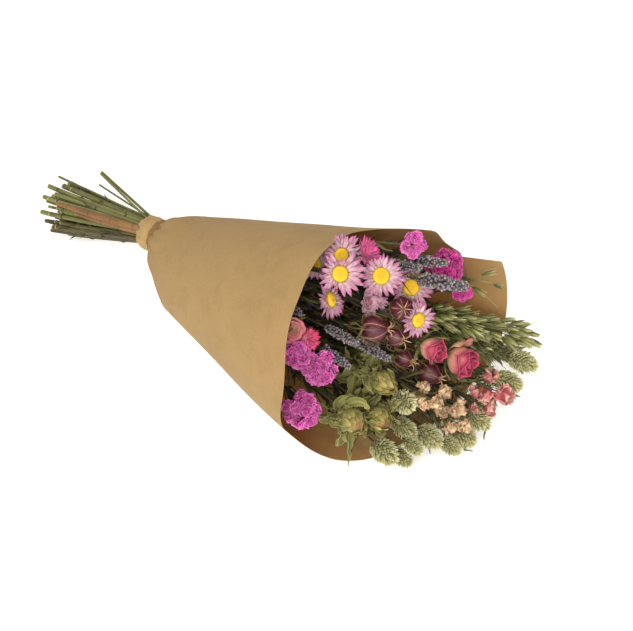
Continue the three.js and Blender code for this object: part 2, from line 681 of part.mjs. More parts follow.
function packNeck(flowers) {
  const cells = neckCells(flowers.length);
  const fans = flowers.map(fanPlace);
  const cost = (fan, cell) => -(fan.side * cell.side + fan.up * cell.up);
  const order = flowers.map((unused, i) => i);
  for (let swapped = true; swapped;) {
    swapped = false;
    for (let i = 0; i < order.length; i += 1) {
      for (let j = i + 1; j < order.length; j += 1) {
        const now = cost(fans[i], cells[order[i]]) + cost(fans[j], cells[order[j]]);
        const then = cost(fans[i], cells[order[j]]) + cost(fans[j], cells[order[i]]);
        if (then < now - 1e-9) {
          [order[i], order[j]] = [order[j], order[i]];
          swapped = true;
        }
      }
    }
  }
  flowers.forEach((flower, i) => { flower.cell = cells[order[i]]; });
}

packNeck(PLAN);

const TAIL_WAY = new THREE.Vector3(
  -Math.cos(STEM.dip) * Math.cos(STEM.yaw), -Math.cos(STEM.dip) * Math.sin(STEM.yaw), -Math.sin(STEM.dip));
const TAIL_SIDE = new THREE.Vector3(0, 0, 1).cross(TAIL_WAY).negate().normalize();
const TAIL_UP = TAIL_SIDE.clone().cross(TAIL_WAY).normalize();

function stemPath(flower) {
  const { side, up } = flower.cell;
  const length = between(STEM.shortest, STEM.longest);
  const spread = 1 + STEM.spread * length;
  const tail = place(STEM.bendAlong, 0, 0)
    .addScaledVector(TAIL_WAY, length)
    .addScaledVector(TAIL_SIDE, side * spread + between(-STEM.endJitter, STEM.endJitter))
    .addScaledVector(TAIL_UP, up * spread + between(-STEM.endJitter, STEM.endJitter));
  const turnIn = flower.base.clone().addScaledVector(flower.way, -STEM.neckLength);
  const way = flower.face === 'stem' || flower.face === 'grass' ? [] : [turnIn];
  return [tail, place(STEM.bendAlong, side, up), place(2, side, up), ...way, flower.base];
}

for (const flower of PLAN) flower.path = stemPath(flower);

function stemSolid(flower, extra) {
  const top = flower.kind === 'rose' ? 2.6 : STEM.radius * 0.95;
  const radii = flower.path.map((point, i) => (i === 0 ? STEM.radius * 1.15 : STEM.radius) + extra);
  radii[radii.length - 1] = top + extra;
  const ends = flower.path.map((point) => point.clone());
  if (extra > 0) ends[ends.length - 1].addScaledVector(flower.way, extra);
  return rod(ends, radii, STEM.sides, 0.3);
}

// Stems of one bunch are pressed against each other inside the collar, where they hold together
function stemContacts(flowers) {
  const joined = [flowers[0]];
  const waiting = flowers.slice(1);
  const contacts = [];
  while (waiting.length) {
    let best = { distance: Infinity };
    for (const inside of joined) {
      for (const outside of waiting) {
        const distance = Math.hypot(inside.cell.side - outside.cell.side, inside.cell.up - outside.cell.up);
        if (distance < best.distance) best = { distance, inside, outside };
      }
    }
    const from = best.inside.cell;
    const to = best.outside.cell;
    contacts.push(rod([place(-6, from.side, from.up), place(-6, to.side, to.up)], [0.7, 0.7], 3, 0.5));
    joined.push(best.outside);
    waiting.splice(waiting.indexOf(best.outside), 1);
  }
  return contacts;
}

// Turn a head from +Z to its own way, and set its base on the end of its stem
function settle(solid, flower) {
  const turn = new THREE.Quaternion().setFromUnitVectors(new THREE.Vector3(0, 0, 1), flower.way);
  const matrix = new THREE.Matrix4().compose(flower.base, turn, new THREE.Vector3(1, 1, 1));
  return solid.transform(Array.from(matrix.elements));
}

// The room that a finished head needs, which later heads leave free
function roomAround(solid) {
  const points = vertices(solid);
  const sum = points.reduce((total, point) => total.add(point), new THREE.Vector3());
  const middle = sum.divideScalar(points.length);
  const grown = points.map((point) => {
    const away = point.clone().sub(middle);
    return point.clone().addScaledVector(away.normalize(), GAP + 0.15);
  });
  return solidFromGeometry(new ConvexGeometry(grown));
}

function boxesMeet(a, b) {
  const [boxA, boxB] = [a.boundingBox(), b.boundingBox()];
  return [0, 1, 2].every((axis) => boxA.min[axis] < boxB.max[axis] && boxB.min[axis] < boxA.max[axis]);
}

function cutClear(solid, obstacles) {
  const near = obstacles.filter((obstacle) => boxesMeet(solid, obstacle));
  if (near.length === 0) return solid;
  return largestBody(solid.subtract(unite(near)));
}

const HEADS = {
  everlasting: (size) => everlastingPetals({
    radius: size.radius,
    low: size.closed ? 0.8 : size.deep ? 0.3 : 0.08,
    high: size.closed ? 1.15 : size.deep ? 0.7 : 0.42,
    closed: size.closed,
  }),
  statice: staticeHead,
  lavender: lavenderSpike,
  nigella: nigellaPod,
  rose: rosePetals,
  safflower: safflowerHead,
  phalaris: phalarisHead,
  oat: oatPanicle,
  larkspur: larkspurSpike,
};

function colourOf(flower) {
  const { size } = flower;
  if (flower.kind === 'everlasting') return size.deep ? COLOURS.petalDeep : COLOURS.petalPale;
  if (flower.name === 'rose_3') return COLOURS.rosePeach;
  if (flower.kind === 'nigella') return COLOURS.pod;
  return COLOURS[flower.kind];
}

// The bouquet

const bouquet = new THREE.Group();

function addPiece(name, solid, colour) {
  const mesh = largestBody(solid.simplify(SLIVER)).getMesh();
  const geometry = new THREE.BufferGeometry();
  geometry.setAttribute('position', new THREE.Float32BufferAttribute(Array.from(mesh.vertProperties), 3));
  geometry.setIndex(Array.from(mesh.triVerts));
  const material = new THREE.MeshStandardMaterial({ color: colour, roughness: 0.85, metalness: 0 });
  const piece = new THREE.Mesh(geometry, material);
  piece.name = name;
  bouquet.add(piece);
}

addPiece('paper_wrapper', paperShell(0, PAPER.thickness), COLOURS.kraft);
addPiece('paper_collar', paperCollar(), COLOURS.kraftLight);

// Heads keep clear of the paper, of every stem and of the heads placed before them
const paperRoom = paperShell(-GAP, PAPER.thickness + GAP);
const stemRooms = new Map(PLAN.map((flower) => [flower, stemSolid(flower, GAP)]));
const headRooms = new Map();

const FUSED_BUNCHES = {
  phalaris: COLOURS.phalaris,
  oat: COLOURS.oat,
  larkspur_cream: COLOURS.larkspurCream,
  larkspur_pink: COLOURS.larkspurPink,
};

for (const flower of PLAN) {
  const fused = flower.bunch in FUSED_BUNCHES;
  const whole = settle(HEADS[flower.kind](flower.size), flower);
  const others = PLAN.filter((other) => !(fused && other.bunch === flower.bunch));
  const stems = others.map((other) => stemRooms.get(other));
  const heads = [...headRooms.values()];
  let disc = null;
  if (flower.size.disc) {
    disc = cutClear(settle(everlastingDisc(flower.size.disc), flower), [...stems, ...heads, paperRoom]);
  }
  flower.head = cutClear(whole, [...stems, ...heads, paperRoom]);
  if (disc) {
    flower.disc = disc;
    addPiece(`${flower.name}_disc`, disc, COLOURS.disc);
    addPiece(`${flower.name}_petals`, flower.head, colourOf(flower));
  } else if (!fused) {
    addPiece(flower.name, flower.head, colourOf(flower));
  }
  headRooms.set(flower, roomAround(flower.disc ? flower.head.add(flower.disc) : flower.head));
}

const bunches = [...new Set(PLAN.map((flower) => flower.bunch))];
for (const bunch of bunches) {
  const members = PLAN.filter((flower) => flower.bunch === bunch);
  const stems = members.map((flower) => stemSolid(flower, 0));
  const contacts = stemContacts(members);
  if (bunch in FUSED_BUNCHES) {
    const heads = members.map((flower) => flower.head);
    addPiece(`${bunch}_bunch`, largestBody(unite([...stems, ...contacts, ...heads])), FUSED_BUNCHES[bunch]);
  } else {
    addPiece(`${bunch}_stems`, largestBody(unite([...stems, ...contacts])), COLOURS.stem);
  }
}

// Origin under the middle of the whole bouquet's box
const box = new THREE.Box3().setFromObject(bouquet);
bouquet.position.set(-(box.min.x + box.max.x) / 2, -(box.min.y + box.max.y) / 2, -box.min.z);

export default bouquet;
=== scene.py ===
# %% [markdown]
# A mixed bouquet of dried flowers lies on its side in a cone of brown kraft paper. The stems
# are packed tightly in the neck, where a paper collar is wound round them, and they open like
# a fan both ways: to the cut ends on one side and to the flower heads on the other.
#
# Almost everything here is a small shape repeated many times. So each petal, husk, bud or leaf
# is modelled once and then set in its places by a rule.

import math

import bpy
import numpy as np
from mathutils import Matrix, Vector


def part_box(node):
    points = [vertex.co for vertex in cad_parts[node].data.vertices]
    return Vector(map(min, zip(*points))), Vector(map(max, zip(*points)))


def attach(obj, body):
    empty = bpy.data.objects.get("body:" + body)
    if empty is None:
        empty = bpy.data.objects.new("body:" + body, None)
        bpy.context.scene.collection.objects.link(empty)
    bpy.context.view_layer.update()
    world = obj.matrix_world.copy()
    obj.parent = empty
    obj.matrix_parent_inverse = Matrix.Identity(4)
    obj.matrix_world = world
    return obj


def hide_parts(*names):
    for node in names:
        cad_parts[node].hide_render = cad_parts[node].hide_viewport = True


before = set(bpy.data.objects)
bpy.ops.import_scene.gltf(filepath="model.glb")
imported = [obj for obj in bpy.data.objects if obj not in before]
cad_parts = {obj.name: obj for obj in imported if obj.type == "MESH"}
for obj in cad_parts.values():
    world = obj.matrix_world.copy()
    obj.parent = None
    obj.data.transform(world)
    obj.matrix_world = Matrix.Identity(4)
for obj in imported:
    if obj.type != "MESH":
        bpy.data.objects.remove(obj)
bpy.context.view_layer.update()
MM = 0.001
print("solids in the frame:", len(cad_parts))

# %% [markdown]
# Every place in the bouquet is easiest to say along the axis of the paper cone: how far along
# from the tied neck, how far to the side, and how far up square to both. The cone lies on its
# side, so its axis climbs. The neck itself is found from the collar's own box.

# %% Places along the axis of the cone
AXIS_TILT = math.radians(12.5)
NECK_FROM_COLLAR = Vector((7.05, 0, 1.43)) * MM    # from the middle of the collar's box

collar_low, collar_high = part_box("paper_collar")
NECK = (Vector(collar_low) + Vector(collar_high)) / 2 + NECK_FROM_COLLAR
ALONG = Vector((math.cos(AXIS_TILT), 0, math.sin(AXIS_TILT)))
SIDE = Vector((0, 1, 0))
UP = Vector((-math.sin(AXIS_TILT), 0, math.cos(AXIS_TILT)))
UPRIGHT = Vector((0, 0, 1))


def direction(along, side, up):
    return (ALONG * along + SIDE * side + UP * up).normalized()


def place(along, side, up):
    return NECK + (ALONG * along + SIDE * side + UP * up) * MM


print("neck, mm:", [round(value / MM, 1) for value in NECK])

# %% [markdown]
# The camera stands up and to the near side of the bouquet and looks down on it at a steep
# angle, with a long lens, so that the cone hardly narrows with distance. The light is that of
# a plain photo studio: one large soft light above, a weaker one on the flowers' side, a faint
# one from behind, and a pale world round them.

# %% Camera
AZIMUTH = math.radians(39)
ELEVATION = math.radians(54.5)
DISTANCE = 1166 * MM
AIM = NECK + Vector((184.5, 10, 23)) * MM

towards_camera = Vector((
    math.sin(AZIMUTH) * math.cos(ELEVATION),
    -math.cos(AZIMUTH) * math.cos(ELEVATION),
    math.sin(ELEVATION)))
bpy.ops.object.select_all(action="DESELECT")
bpy.ops.object.camera_add(location=AIM + towards_camera * DISTANCE)
camera = bpy.context.object
camera.rotation_euler = towards_camera.to_track_quat("Z", "Y").to_euler()
camera.data.lens = 75
camera.data.sensor_width = 36
camera.data.clip_start = 0.05
bpy.context.scene.camera = camera
print("camera at, mm:", [round(value / MM) for value in camera.location])

# %% Soft studio light and a pale floor
WARM_WHITE = (1.0, 0.965, 0.91)
FLOOR_SIZE = 30             # in metres, so that its edge stays out of the picture
FLOOR_GAP = 0.4 * MM        # the floor lies this far below the bouquet


def soft_light(name, place_from_aim, width, watts):
    """A square light of that width, pointing at the bouquet."""
    spot = AIM + Vector(place_from_aim)
    bpy.ops.object.light_add(type="AREA", location=spot)
    light = bpy.context.object
    light.name = name
    light.rotation_euler = (spot - AIM).to_track_quat("Z", "Y").to_euler()
    light.data.size = width
    light.data.energy = watts
    light.data.color = WARM_WHITE


soft_light("light_above", (0.2, -0.8, 1.2), 1.2, 25)
soft_light("light_side", (1.2, -0.9, 0.8), 1.0, 13)
soft_light("light_far", (-0.9, 1.0, 0.8), 1.2, 6)

world = bpy.data.worlds.new("studio")
world.use_nodes = True
background = world.node_tree.nodes["Background"]
background.inputs["Color"].default_value = WARM_WHITE + (1,)
background.inputs["Strength"].default_value = 0.45
bpy.context.scene.world = world
bpy.context.scene.view_settings.view_transform = "Standard"

bpy.ops.object.select_all(action="DESELECT")
bpy.ops.mesh.primitive_plane_add(size=FLOOR_SIZE, location=(0, 0, -FLOOR_GAP))
floor = bpy.context.object
floor.name = "floor"
table = bpy.data.materials.new("pale_floor")
table.use_nodes = True
for name, value in (("Base Color", (0.93, 0.93, 0.93, 1)), ("Roughness", 0.9),
                    ("Emission Color", (1, 1, 1, 1)), ("Emission Strength", 0.25)):
    table.node_tree.nodes["Principled BSDF"].inputs[name].default_value = value
floor.data.materials.append(table)

# %% [markdown]
# Materials come before the pieces. Dried plants are never one flat colour: they are mottled,
# paler towards a tip, and each petal differs a little from its neighbour. Three facts carry
# that. A UV map says how far along and how far across a petal a point lies, a number called
# "tint" is drawn once for each petal, and noise in the object's own space does the rest.

# %% A short way to write node trees
COLOUR_MIX = (0, 6, 7)      # a mix node's inputs for the share and for two colours


def feed(tree, socket, value):
    """Gives a socket a plain value, or joins another node's socket to it."""
    if isinstance(value, bpy.types.NodeSocket):
        tree.links.new(value, socket)
    else:
        socket.default_value = value


def feed_all(tree, node, **inputs):
    """Feeds inputs by their names, with an underscore for each blank in a name."""
    for name, value in inputs.items():
        feed(tree, node.inputs[name.replace("_", " ")], value)


def add_node(tree, kind, settings=None, **inputs):
    node = tree.nodes.new(kind)
    for name, value in (settings or {}).items():
        setattr(node, name, value)
    feed_all(tree, node, **inputs)
    return node


def maths(tree, operation, first, second=0.0):
    node = add_node(tree, "ShaderNodeMath", {"operation": operation})
    feed(tree, node.inputs[0], first)
    feed(tree, node.inputs[1], second)
    return node.outputs[0]


def blend_colours(tree, share, first, second, mode="MIX"):
    node = add_node(tree, "ShaderNodeMix", {"data_type": "RGBA", "blend_type": mode})
    for number, value in zip(COLOUR_MIX, (share, first, second)):
        feed(tree, node.inputs[number], value)
    return node.outputs[2]


def ramp(tree, share, stops):
    """A colour ramp through (place, colour) stops."""
    node = tree.nodes.new("ShaderNodeValToRGB")
    elements = node.color_ramp.elements
    while len(elements) < len(stops):
        elements.new(0.5)
    for element, (spot, colour) in zip(elements, stops):
        element.position = spot
        element.color = colour
    tree.links.new(share, node.inputs[0])
    return node.outputs[0]


def colour(red, green, blue):
    """A colour as read off a screen, 0 to 255, made linear for the shader."""
    def linear(value):
        share = value / 255
        return share / 12.92 if share <= 0.04045 else ((share + 0.055) / 1.055) ** 2.4
    return (linear(red), linear(green), linear(blue), 1.0)


print("a middle grey, made linear:", round(colour(128, 128, 128)[0], 3))

# %% Dry mottle: blotches and fine grain that every dried surface shares
def make_dry_mottle():
    group = bpy.data.node_groups.new("dry_mottle", "ShaderNodeTree")
    for name, way in (("Blotch size", "INPUT"), ("Grain size", "INPUT"), ("Blotch", "OUTPUT"),
                      ("Grain", "OUTPUT")):
        group.interface.new_socket(name, in_out=way, socket_type="NodeSocketFloat")
    inside = group.nodes.new("NodeGroupInput")
    outside = group.nodes.new("NodeGroupOutput")
    spots = add_node(group, "ShaderNodeTexCoord").outputs["Object"]
    blotch = add_node(group, "ShaderNodeTexNoise", Vector=spots, Scale=inside.outputs[0],
                      Detail=3.0, Roughness=0.55)
    grain = add_node(group, "ShaderNodeTexNoise", Vector=spots, Scale=inside.outputs[1],
                     Detail=2.0, Roughness=0.6)
    group.links.new(blotch.outputs[0], outside.inputs[0])
    group.links.new(grain.outputs[0], outside.inputs[1])
    return group


DRY_MOTTLE = make_dry_mottle()


def start_material(name, blotch=60.0, grain=1500.0):
    """A new material with its tree, its shader and the mottle and petal facts ready to use."""
    material = bpy.data.materials.new(name)
    material.use_nodes = True
    tree = material.node_tree
    shader = tree.nodes["Principled BSDF"]
    mottle = add_node(tree, "ShaderNodeGroup", {"node_tree": DRY_MOTTLE}, Blotch_size=blotch,
                      Grain_size=grain)
    uv = add_node(tree, "ShaderNodeUVMap", {"uv_map": "UVMap"})
    split = add_node(tree, "ShaderNodeSeparateXYZ", Vector=uv.outputs[0])
    tint = add_node(tree, "ShaderNodeAttribute", {"attribute_name": "tint"})
    facts = {
        "blotch": mottle.outputs[0], "grain": mottle.outputs[1],
        "across": split.outputs[0], "along": split.outputs[1], "tint": tint.outputs["Fac"],
    }
    return material, tree, shader, facts


def bump(tree, shader, height, strength, distance):
    node = add_node(tree, "ShaderNodeBump", Height=height, Strength=strength, Distance=distance)
    feed_all(tree, shader, Normal=node.outputs[0])


def varied(tree, base, facts, dark=0.25, pale=0.2):
    """The base colour, darker in blotches, and up to the share pale lighter or darker in each copy."""
    shade = maths(tree, "MULTIPLY", maths(tree, "SUBTRACT", facts["blotch"], 0.35), 1.6)
    darker = blend_colours(tree, dark, base, (0.2, 0.17, 0.12, 1), "MULTIPLY")
    mottled = blend_colours(tree, shade, darker, base)
    low, high = ((1 + sign * pale,) * 3 + (1,) for sign in (-1, 1))
    return blend_colours(tree, 1.0, mottled, blend_colours(tree, facts["tint"], low, high), "MULTIPLY")


print("shared effect:", DRY_MOTTLE.name)

# %% [markdown]
# Kraft paper is brown wood fibre: a warm matt brown with short pale and dark fibres in it,
# tiny flecks, and faint cloudy patches where it has been handled. Its surface is nearly
# smooth, so the bump stays shallow, apart from a few soft creases that run with the cone. The
# sheet is thin enough for light to glow through it, which a little subsurface gives its inside.

# %% Kraft paper
def kraft_material(name, base, crease):
    material, tree, shader, facts = start_material(name, blotch=14.0, grain=2600.0)
    spots = add_node(tree, "ShaderNodeTexCoord").outputs["Object"]
    stretched = add_node(tree, "ShaderNodeMapping", Vector=spots, Scale=(1.0, 3.0, 3.0))
    fibre = add_node(tree, "ShaderNodeTexNoise", Vector=stretched.outputs[0], Scale=330.0,
                     Detail=4.0, Roughness=0.75)
    patches = add_node(tree, "ShaderNodeTexNoise", Vector=spots, Scale=70.0, Detail=3.0)
    worn = add_node(tree, "ShaderNodeTexNoise", Vector=stretched.outputs[0], Scale=16.0, Detail=4.0,
                    Roughness=0.6, Distortion=0.8)
    light, dark = (tuple(value * share for value in base[:3]) + (1,) for share in (1.06, 0.84))
    cloudy = blend_colours(tree, facts["blotch"], light, dark)
    marks = ramp(tree, patches.outputs[0], [(0.3, (0.9, 0.89, 0.87, 1)), (0.5, (1, 1, 1, 1))])
    marked = blend_colours(tree, 0.8, cloudy, marks, "MULTIPLY")
    flecks = ramp(tree, fibre.outputs[0], [(0.3, (0.68, 0.64, 0.58, 1)), (0.42, (0.95, 0.94, 0.92, 1)),
                                           (0.6, (1, 1, 1, 1)), (0.7, (1.12, 1.12, 1.1, 1))])
    flecked = blend_colours(tree, 0.75, marked, flecks, "MULTIPLY")
    specks = ramp(tree, facts["grain"], [(0.3, (0.6, 0.55, 0.48, 1)), (0.38, (1, 1, 1, 1))])
    feed_all(tree, shader, Base_Color=blend_colours(tree, 0.5, flecked, specks, "MULTIPLY"),
             Roughness=0.8, Specular_IOR_Level=0.22, Subsurface_Weight=0.25,
             Subsurface_Radius=(1.0, 0.6, 0.35), Subsurface_Scale=0.003)
    uneven = add_node(tree, "ShaderNodeBump", Height=worn.outputs[0], Strength=crease, Distance=0.004)
    fine = add_node(tree, "ShaderNodeBump", Height=fibre.outputs[0], Strength=0.3, Distance=0.0003,
                    Normal=uneven.outputs[0])
    feed_all(tree, shader, Normal=fine.outputs[0])
    return material


KRAFT = kraft_material("kraft_paper", colour(156, 129, 87), 0.1)
COLLAR_KRAFT = kraft_material("collar_paper", colour(172, 142, 98), 0.4)
# the frill is the same paper painted darker: painted shade where it is crumpled
FRILL_SHADED_KRAFT = kraft_material("frill_paper_painted_shade", colour(136, 102, 64), 0.6)
print("paper:", KRAFT.name, COLLAR_KRAFT.name, FRILL_SHADED_KRAFT.name)

# %% [markdown]
# The wrapper is one sheet wound into a cone. A flat grid is added and its points are set on
# the cone: the columns run round it and the rows from the neck to the edge. Near the neck the
# sheet is gathered into small pleats, and its underside is pressed flat where it lies. The far
# edge isn't straight, because the sheet was square: it has one long corner and a low near rim.

# %% Shape of the paper cone
# All in mm along the cone's axis and out from it: the tied neck, where it begins to flare, the
# shoulder beyond which it is a straight cone, and the mouth
NECK_START, NECK_RADIUS = -13, 14.6
FLARE_ALONG, FLARE_RADIUS, FLARE_POWER = 7, 18.2, 0.68
SHOULDER_ALONG, SHOULDER_RADIUS = 44, 49.5
MOUTH_ALONG, MOUTH_RADIUS = 265, 108
PRESSED_FLAT = 0.04         # how much lower the underside is where it is pressed, as a share
NECK_HEIGHT = NECK.z / MM

# The paper's edge: degrees round from the far side upwards, and length from the neck
CORNER = 15
EDGE = [(CORNER - 2, 312), (CORNER + 2, 279), (29, 269), (41, 271), (53, 232), (66, 219),
        (92, 221), (122, 233), (157, 248), (180, 241), (200, 232), (235, 258), (270, 280), (300, 296),
        (335, 313)]


def paper_radius(along):
    if along <= 0:
        return NECK_RADIUS
    if along < FLARE_ALONG:
        return NECK_RADIUS + (FLARE_RADIUS - NECK_RADIUS) * along / FLARE_ALONG
    if along < SHOULDER_ALONG:
        share = (along - FLARE_ALONG) / (SHOULDER_ALONG - FLARE_ALONG)
        return FLARE_RADIUS + (SHOULDER_RADIUS - FLARE_RADIUS) * share ** FLARE_POWER
    slope = (MOUTH_RADIUS - SHOULDER_RADIUS) / (MOUTH_ALONG - SHOULDER_ALONG)
    return SHOULDER_RADIUS + slope * (along - SHOULDER_ALONG)


def paper_middle(along):
    """How far up the middle of the section lies, so that the underside runs along the floor."""
    def resting(at):
        return paper_radius(at) - (NECK_HEIGHT + at * math.sin(AXIS_TILT)) / math.cos(AXIS_TILT)
    if along <= 0:
        return 0
    if along < SHOULDER_ALONG:
        return resting(SHOULDER_ALONG) * along / SHOULDER_ALONG
    return resting(along)


def paper_edge(degrees):
    """A smooth edge through its points, which never swings past them."""
    turn = degrees % 360
    after = next((number for number, (at, _) in enumerate(EDGE) if at > turn), len(EDGE))
    knots = []
    for number in range(after - 2, after + 2):
        lap, index = divmod(number, len(EDGE))
        knots.append((EDGE[index][0] + 360 * lap, EDGE[index][1]))
    rises = [(q[1] - p[1]) / (q[0] - p[0]) for p, q in zip(knots, knots[1:])]
    into, out = (0 if s * t <= 0 else 2 * s * t / (s + t) for s, t in zip(rises, rises[1:]))
    (at, low), (beyond, high) = knots[1], knots[2]
    span = beyond - at
    share = (turn - at) / span
    bend = span * share * (1 - share) * (into * (1 - share) - out * share)
    return low + share * share * (3 - 2 * share) * (high - low) + bend


def paper_point(angle, along, inset=0.0):
    radius = paper_radius(along) - inset
    point = place(along, radius * math.cos(angle), paper_middle(along) + radius * math.sin(angle))
    whole = paper_radius(along) * MM
    if along > 0:
        point.z -= PRESSED_FLAT * whole * max(0, 1 - point.z / whole)
    point.z = max(point.z, 0)
    return point


print("paper's radius at the neck, the shoulder and the mouth, mm:",
      [round(paper_radius(along), 1) for along in (0, SHOULDER_ALONG, MOUTH_ALONG)])

# %% Wind the sheet
def deselect():
    if bpy.context.object and bpy.context.object.mode != "OBJECT":
        bpy.ops.object.mode_set(mode="OBJECT")
    bpy.ops.object.select_all(action="DESELECT")


def name_piece(name, material=None):
    """Names the primitive that was just added."""
    piece = bpy.context.object
    piece.name = name
    piece.data.name = name
    if material:
        piece.data.materials.append(material)
    return piece


def pick(piece):
    """Makes the piece the only one selected, and the active one."""
    deselect()
    piece.select_set(True)
    bpy.context.view_layer.objects.active = piece


def apply_modifier(piece, kind, **settings):
    pick(piece)
    modifier = piece.modifiers.new(kind.lower(), kind)
    for name, value in settings.items():
        setattr(modifier, name, value)
    bpy.ops.object.modifier_apply(modifier=modifier.name)


def in_edit_mode(piece, *steps):
    """Runs edit-mode steps on the whole piece."""
    pick(piece)
    bpy.ops.object.mode_set(mode="EDIT")
    bpy.ops.mesh.select_all(action="SELECT")
    for step in steps:
        step()
    bpy.ops.object.mode_set(mode="OBJECT")


def hand_over(piece, degrees, node, slot):
    """Shades the piece smooth up to that angle and gives it the place of a plain solid."""
    pick(piece)
    bpy.ops.object.shade_smooth_by_angle(angle=math.radians(degrees))
    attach(piece, "root")
    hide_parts(node)


def faces_outwards():
    bpy.ops.mesh.normals_make_consistent(inside=False)


def clamped(value):
    """The value, held between 0 and 1."""
    return min(1, max(0, value))


def soft_noise(*numbers):
    """A gentle wave between -1 and 1 from a few sines, the same at every run."""
    total = 0
    for order, number in enumerate(numbers):
        total += math.sin(number * (1 + 0.37 * order) + 1.7 * order) * math.cos(number * 0.61 + order)
    return total / len(numbers)


PAPER_THICKNESS = 0.4
LAP = 26                 # degrees by which the sheet's end runs on under its beginning
LAYER_GAP = 0.8          # how much deeper the end lies there, mm
FADE = 30                # degrees over which dents and layers come and go
COLUMNS, ROWS = 194, 50
FLARE_ROWS = 0.3         # the share of the rows between the neck and the shoulder
PLEATS = 9

deselect()
bpy.ops.mesh.primitive_grid_add(x_subdivisions=COLUMNS, y_subdivisions=ROWS, size=2)
paper = name_piece("paper", KRAFT)
for vertex in paper.data.vertices:
    turned = (vertex.co.x + 1) / 2 * (360 + LAP)
    up = (vertex.co.y + 1) / 2
    degrees = CORNER - 1.9 - turned
    angle = math.radians(degrees)
    edge = paper_edge(degrees if turned < 355 else CORNER + 3)
    share = max(0, (up - FLARE_ROWS) / (1 - FLARE_ROWS))
    if up < FLARE_ROWS:
        along = NECK_START + (SHOULDER_ALONG - NECK_START) * up / FLARE_ROWS
    else:
        along = SHOULDER_ALONG + (edge - SHOULDER_ALONG) * share
    gathered = max(0, 1 - abs(along - 17) / 20) ** 1.3
    pleat = 1.2 * gathered * math.cos(PLEATS * angle + 0.7 * math.sin(2 * angle))
    pleat += 0.8 * gathered * math.cos(19 * angle + 1 + along * 0.05)
    # the sheet is plain where its two layers lie, so that they don't cut into each other
    single = min(clamped((turned - LAP) / FADE), clamped((360 - turned) / FADE))
    dent = 1.2 * clamped((along - 30) / 60) * soft_noise(
        angle * 2.1 + along * 0.012, along * 0.03 - angle * 1.3, angle * 3 + 2) * single
    wave = 1.6 * math.sin(3.3 * angle + 0.8) + 0.9 * math.sin(8 * angle + 2) - 0.4
    wave *= share ** 6 * single
    lies_down = clamped((math.sin(angle) + 0.98) / 0.3)
    layer = LAYER_GAP * clamped((turned - 328) / FADE) * (1 if along > 2 else 0.2)
    vertex.co = paper_point(angle, along, layer - (pleat + dent + wave) * lies_down)
in_edit_mode(paper, faces_outwards)
middle_face = paper.data.polygons[len(paper.data.polygons) // 2]
if middle_face.normal.dot(middle_face.center - place(120, 0, 0)) < 0:
    in_edit_mode(paper, bpy.ops.mesh.flip_normals)
apply_modifier(paper, "SOLIDIFY", thickness=PAPER_THICKNESS * MM, offset=-1)
hand_over(paper, 50, "paper_wrapper", "kraft_paper")
print("paper faces:", len(paper.data.polygons))

# %% [markdown]
# The collar is the sheet's last hand's breadth, wound tightly round the stems. It is a tube
# with folds of its own. On the upper far side its frill runs on over the gathered neck of the
# cone, where it is crumpled and lies in its own shade. The frill is the same tube carried on,
# and beyond the line where the crumpling begins its paper is painted darker brown: painted shade.

# %% Collar
COLLAR_START, COLLAR_END = -14.2, -0.4
COLLAR_RADIUS = 15.9
FRILL_TURN = math.radians(72)       # the side on which the frill lies
FRILL_REACH = 19

deselect()
bpy.ops.mesh.primitive_grid_add(x_subdivisions=152, y_subdivisions=30, size=2)
collar = name_piece("collar", COLLAR_KRAFT)
collar.data.materials.append(FRILL_SHADED_KRAFT)
for vertex in collar.data.vertices:
    angle = (vertex.co.x + 1) * math.pi
    share = (vertex.co.y + 1) / 2
    from_frill = min(abs(angle - FRILL_TURN), math.tau - abs(angle - FRILL_TURN))
    reach = FRILL_REACH * max(0, math.cos(min(math.pi / 2, from_frill / 1.25))) ** 1.6
    end = COLLAR_END + reach
    slack = 0.8 * math.sin(2 * angle + 0.8) + 0.5 * math.sin(5 * angle)
    along = COLLAR_START + (end - COLLAR_START) * share + slack * (abs(share - 0.5) * 2) ** 3
    skew = angle + 0.02 * along
    fold = 0.5 * math.cos(9 * skew) + 0.35 * math.cos(17 * angle + 2)
    band = max(0, 1 - abs(along + 7) / 7)
    crumple = clamped((along + 1) / 4)
    radius = COLLAR_RADIUS + 1.0 * band + fold * (0.35 + 0.5 * (1 - band))
    tucked = share ** 4
    over_cone = paper_radius(along) + 1.4 - 3.4 * tucked + crumple * (1 - tucked) * (
        0.9 * math.cos(11 * skew + 1) + 0.8 * math.sin(19 * angle + along * 0.6)
        + 0.6 * soft_noise(angle * 6 + along * 0.3, along * 0.9 - angle * 3))
    radius = max(radius, over_cone) if along > 0 else radius
    vertex.co = place(along, radius * math.cos(angle), paper_middle(along) + radius * math.sin(angle))
# faces beyond the line where the crumpling begins get the darker frill paper: painted shade
for face in collar.data.polygons:
    if (face.center - NECK).dot(ALONG) > 0.2 * MM:
        face.material_index = 1
in_edit_mode(collar, lambda: bpy.ops.mesh.remove_doubles(threshold=0.02 * MM), faces_outwards)
apply_modifier(collar, "SOLIDIFY", thickness=PAPER_THICKNESS * MM, offset=-1)
hand_over(collar, 50, "paper_collar", "collar_paper")
print("collar faces:", len(collar.data.polygons))

# %% [markdown]
# The planting plan says, kind by kind, where the middle of each head is, which way it looks,
# and how large it is, in millimetres along the cone's axis. "face" mixes the stem's own
# direction with the side that the flowers turn to. Every stem then runs from its head to its
# own cell in the neck, packed like a honeycomb: the cells are dealt out so that a stem keeps
# the side that its flower has, and so no two stems cross.

# %% Planting plan
OPEN_SIDE = direction(0.53, -0.46, 0.71)
FACING = {"stem": 0, "grass": 0.1, "little": 0.3, "half": 0.55, "open": 0.9}
EVERLASTING_MIDDLE = 6      # how far the middle of a daisy lies above its base, mm

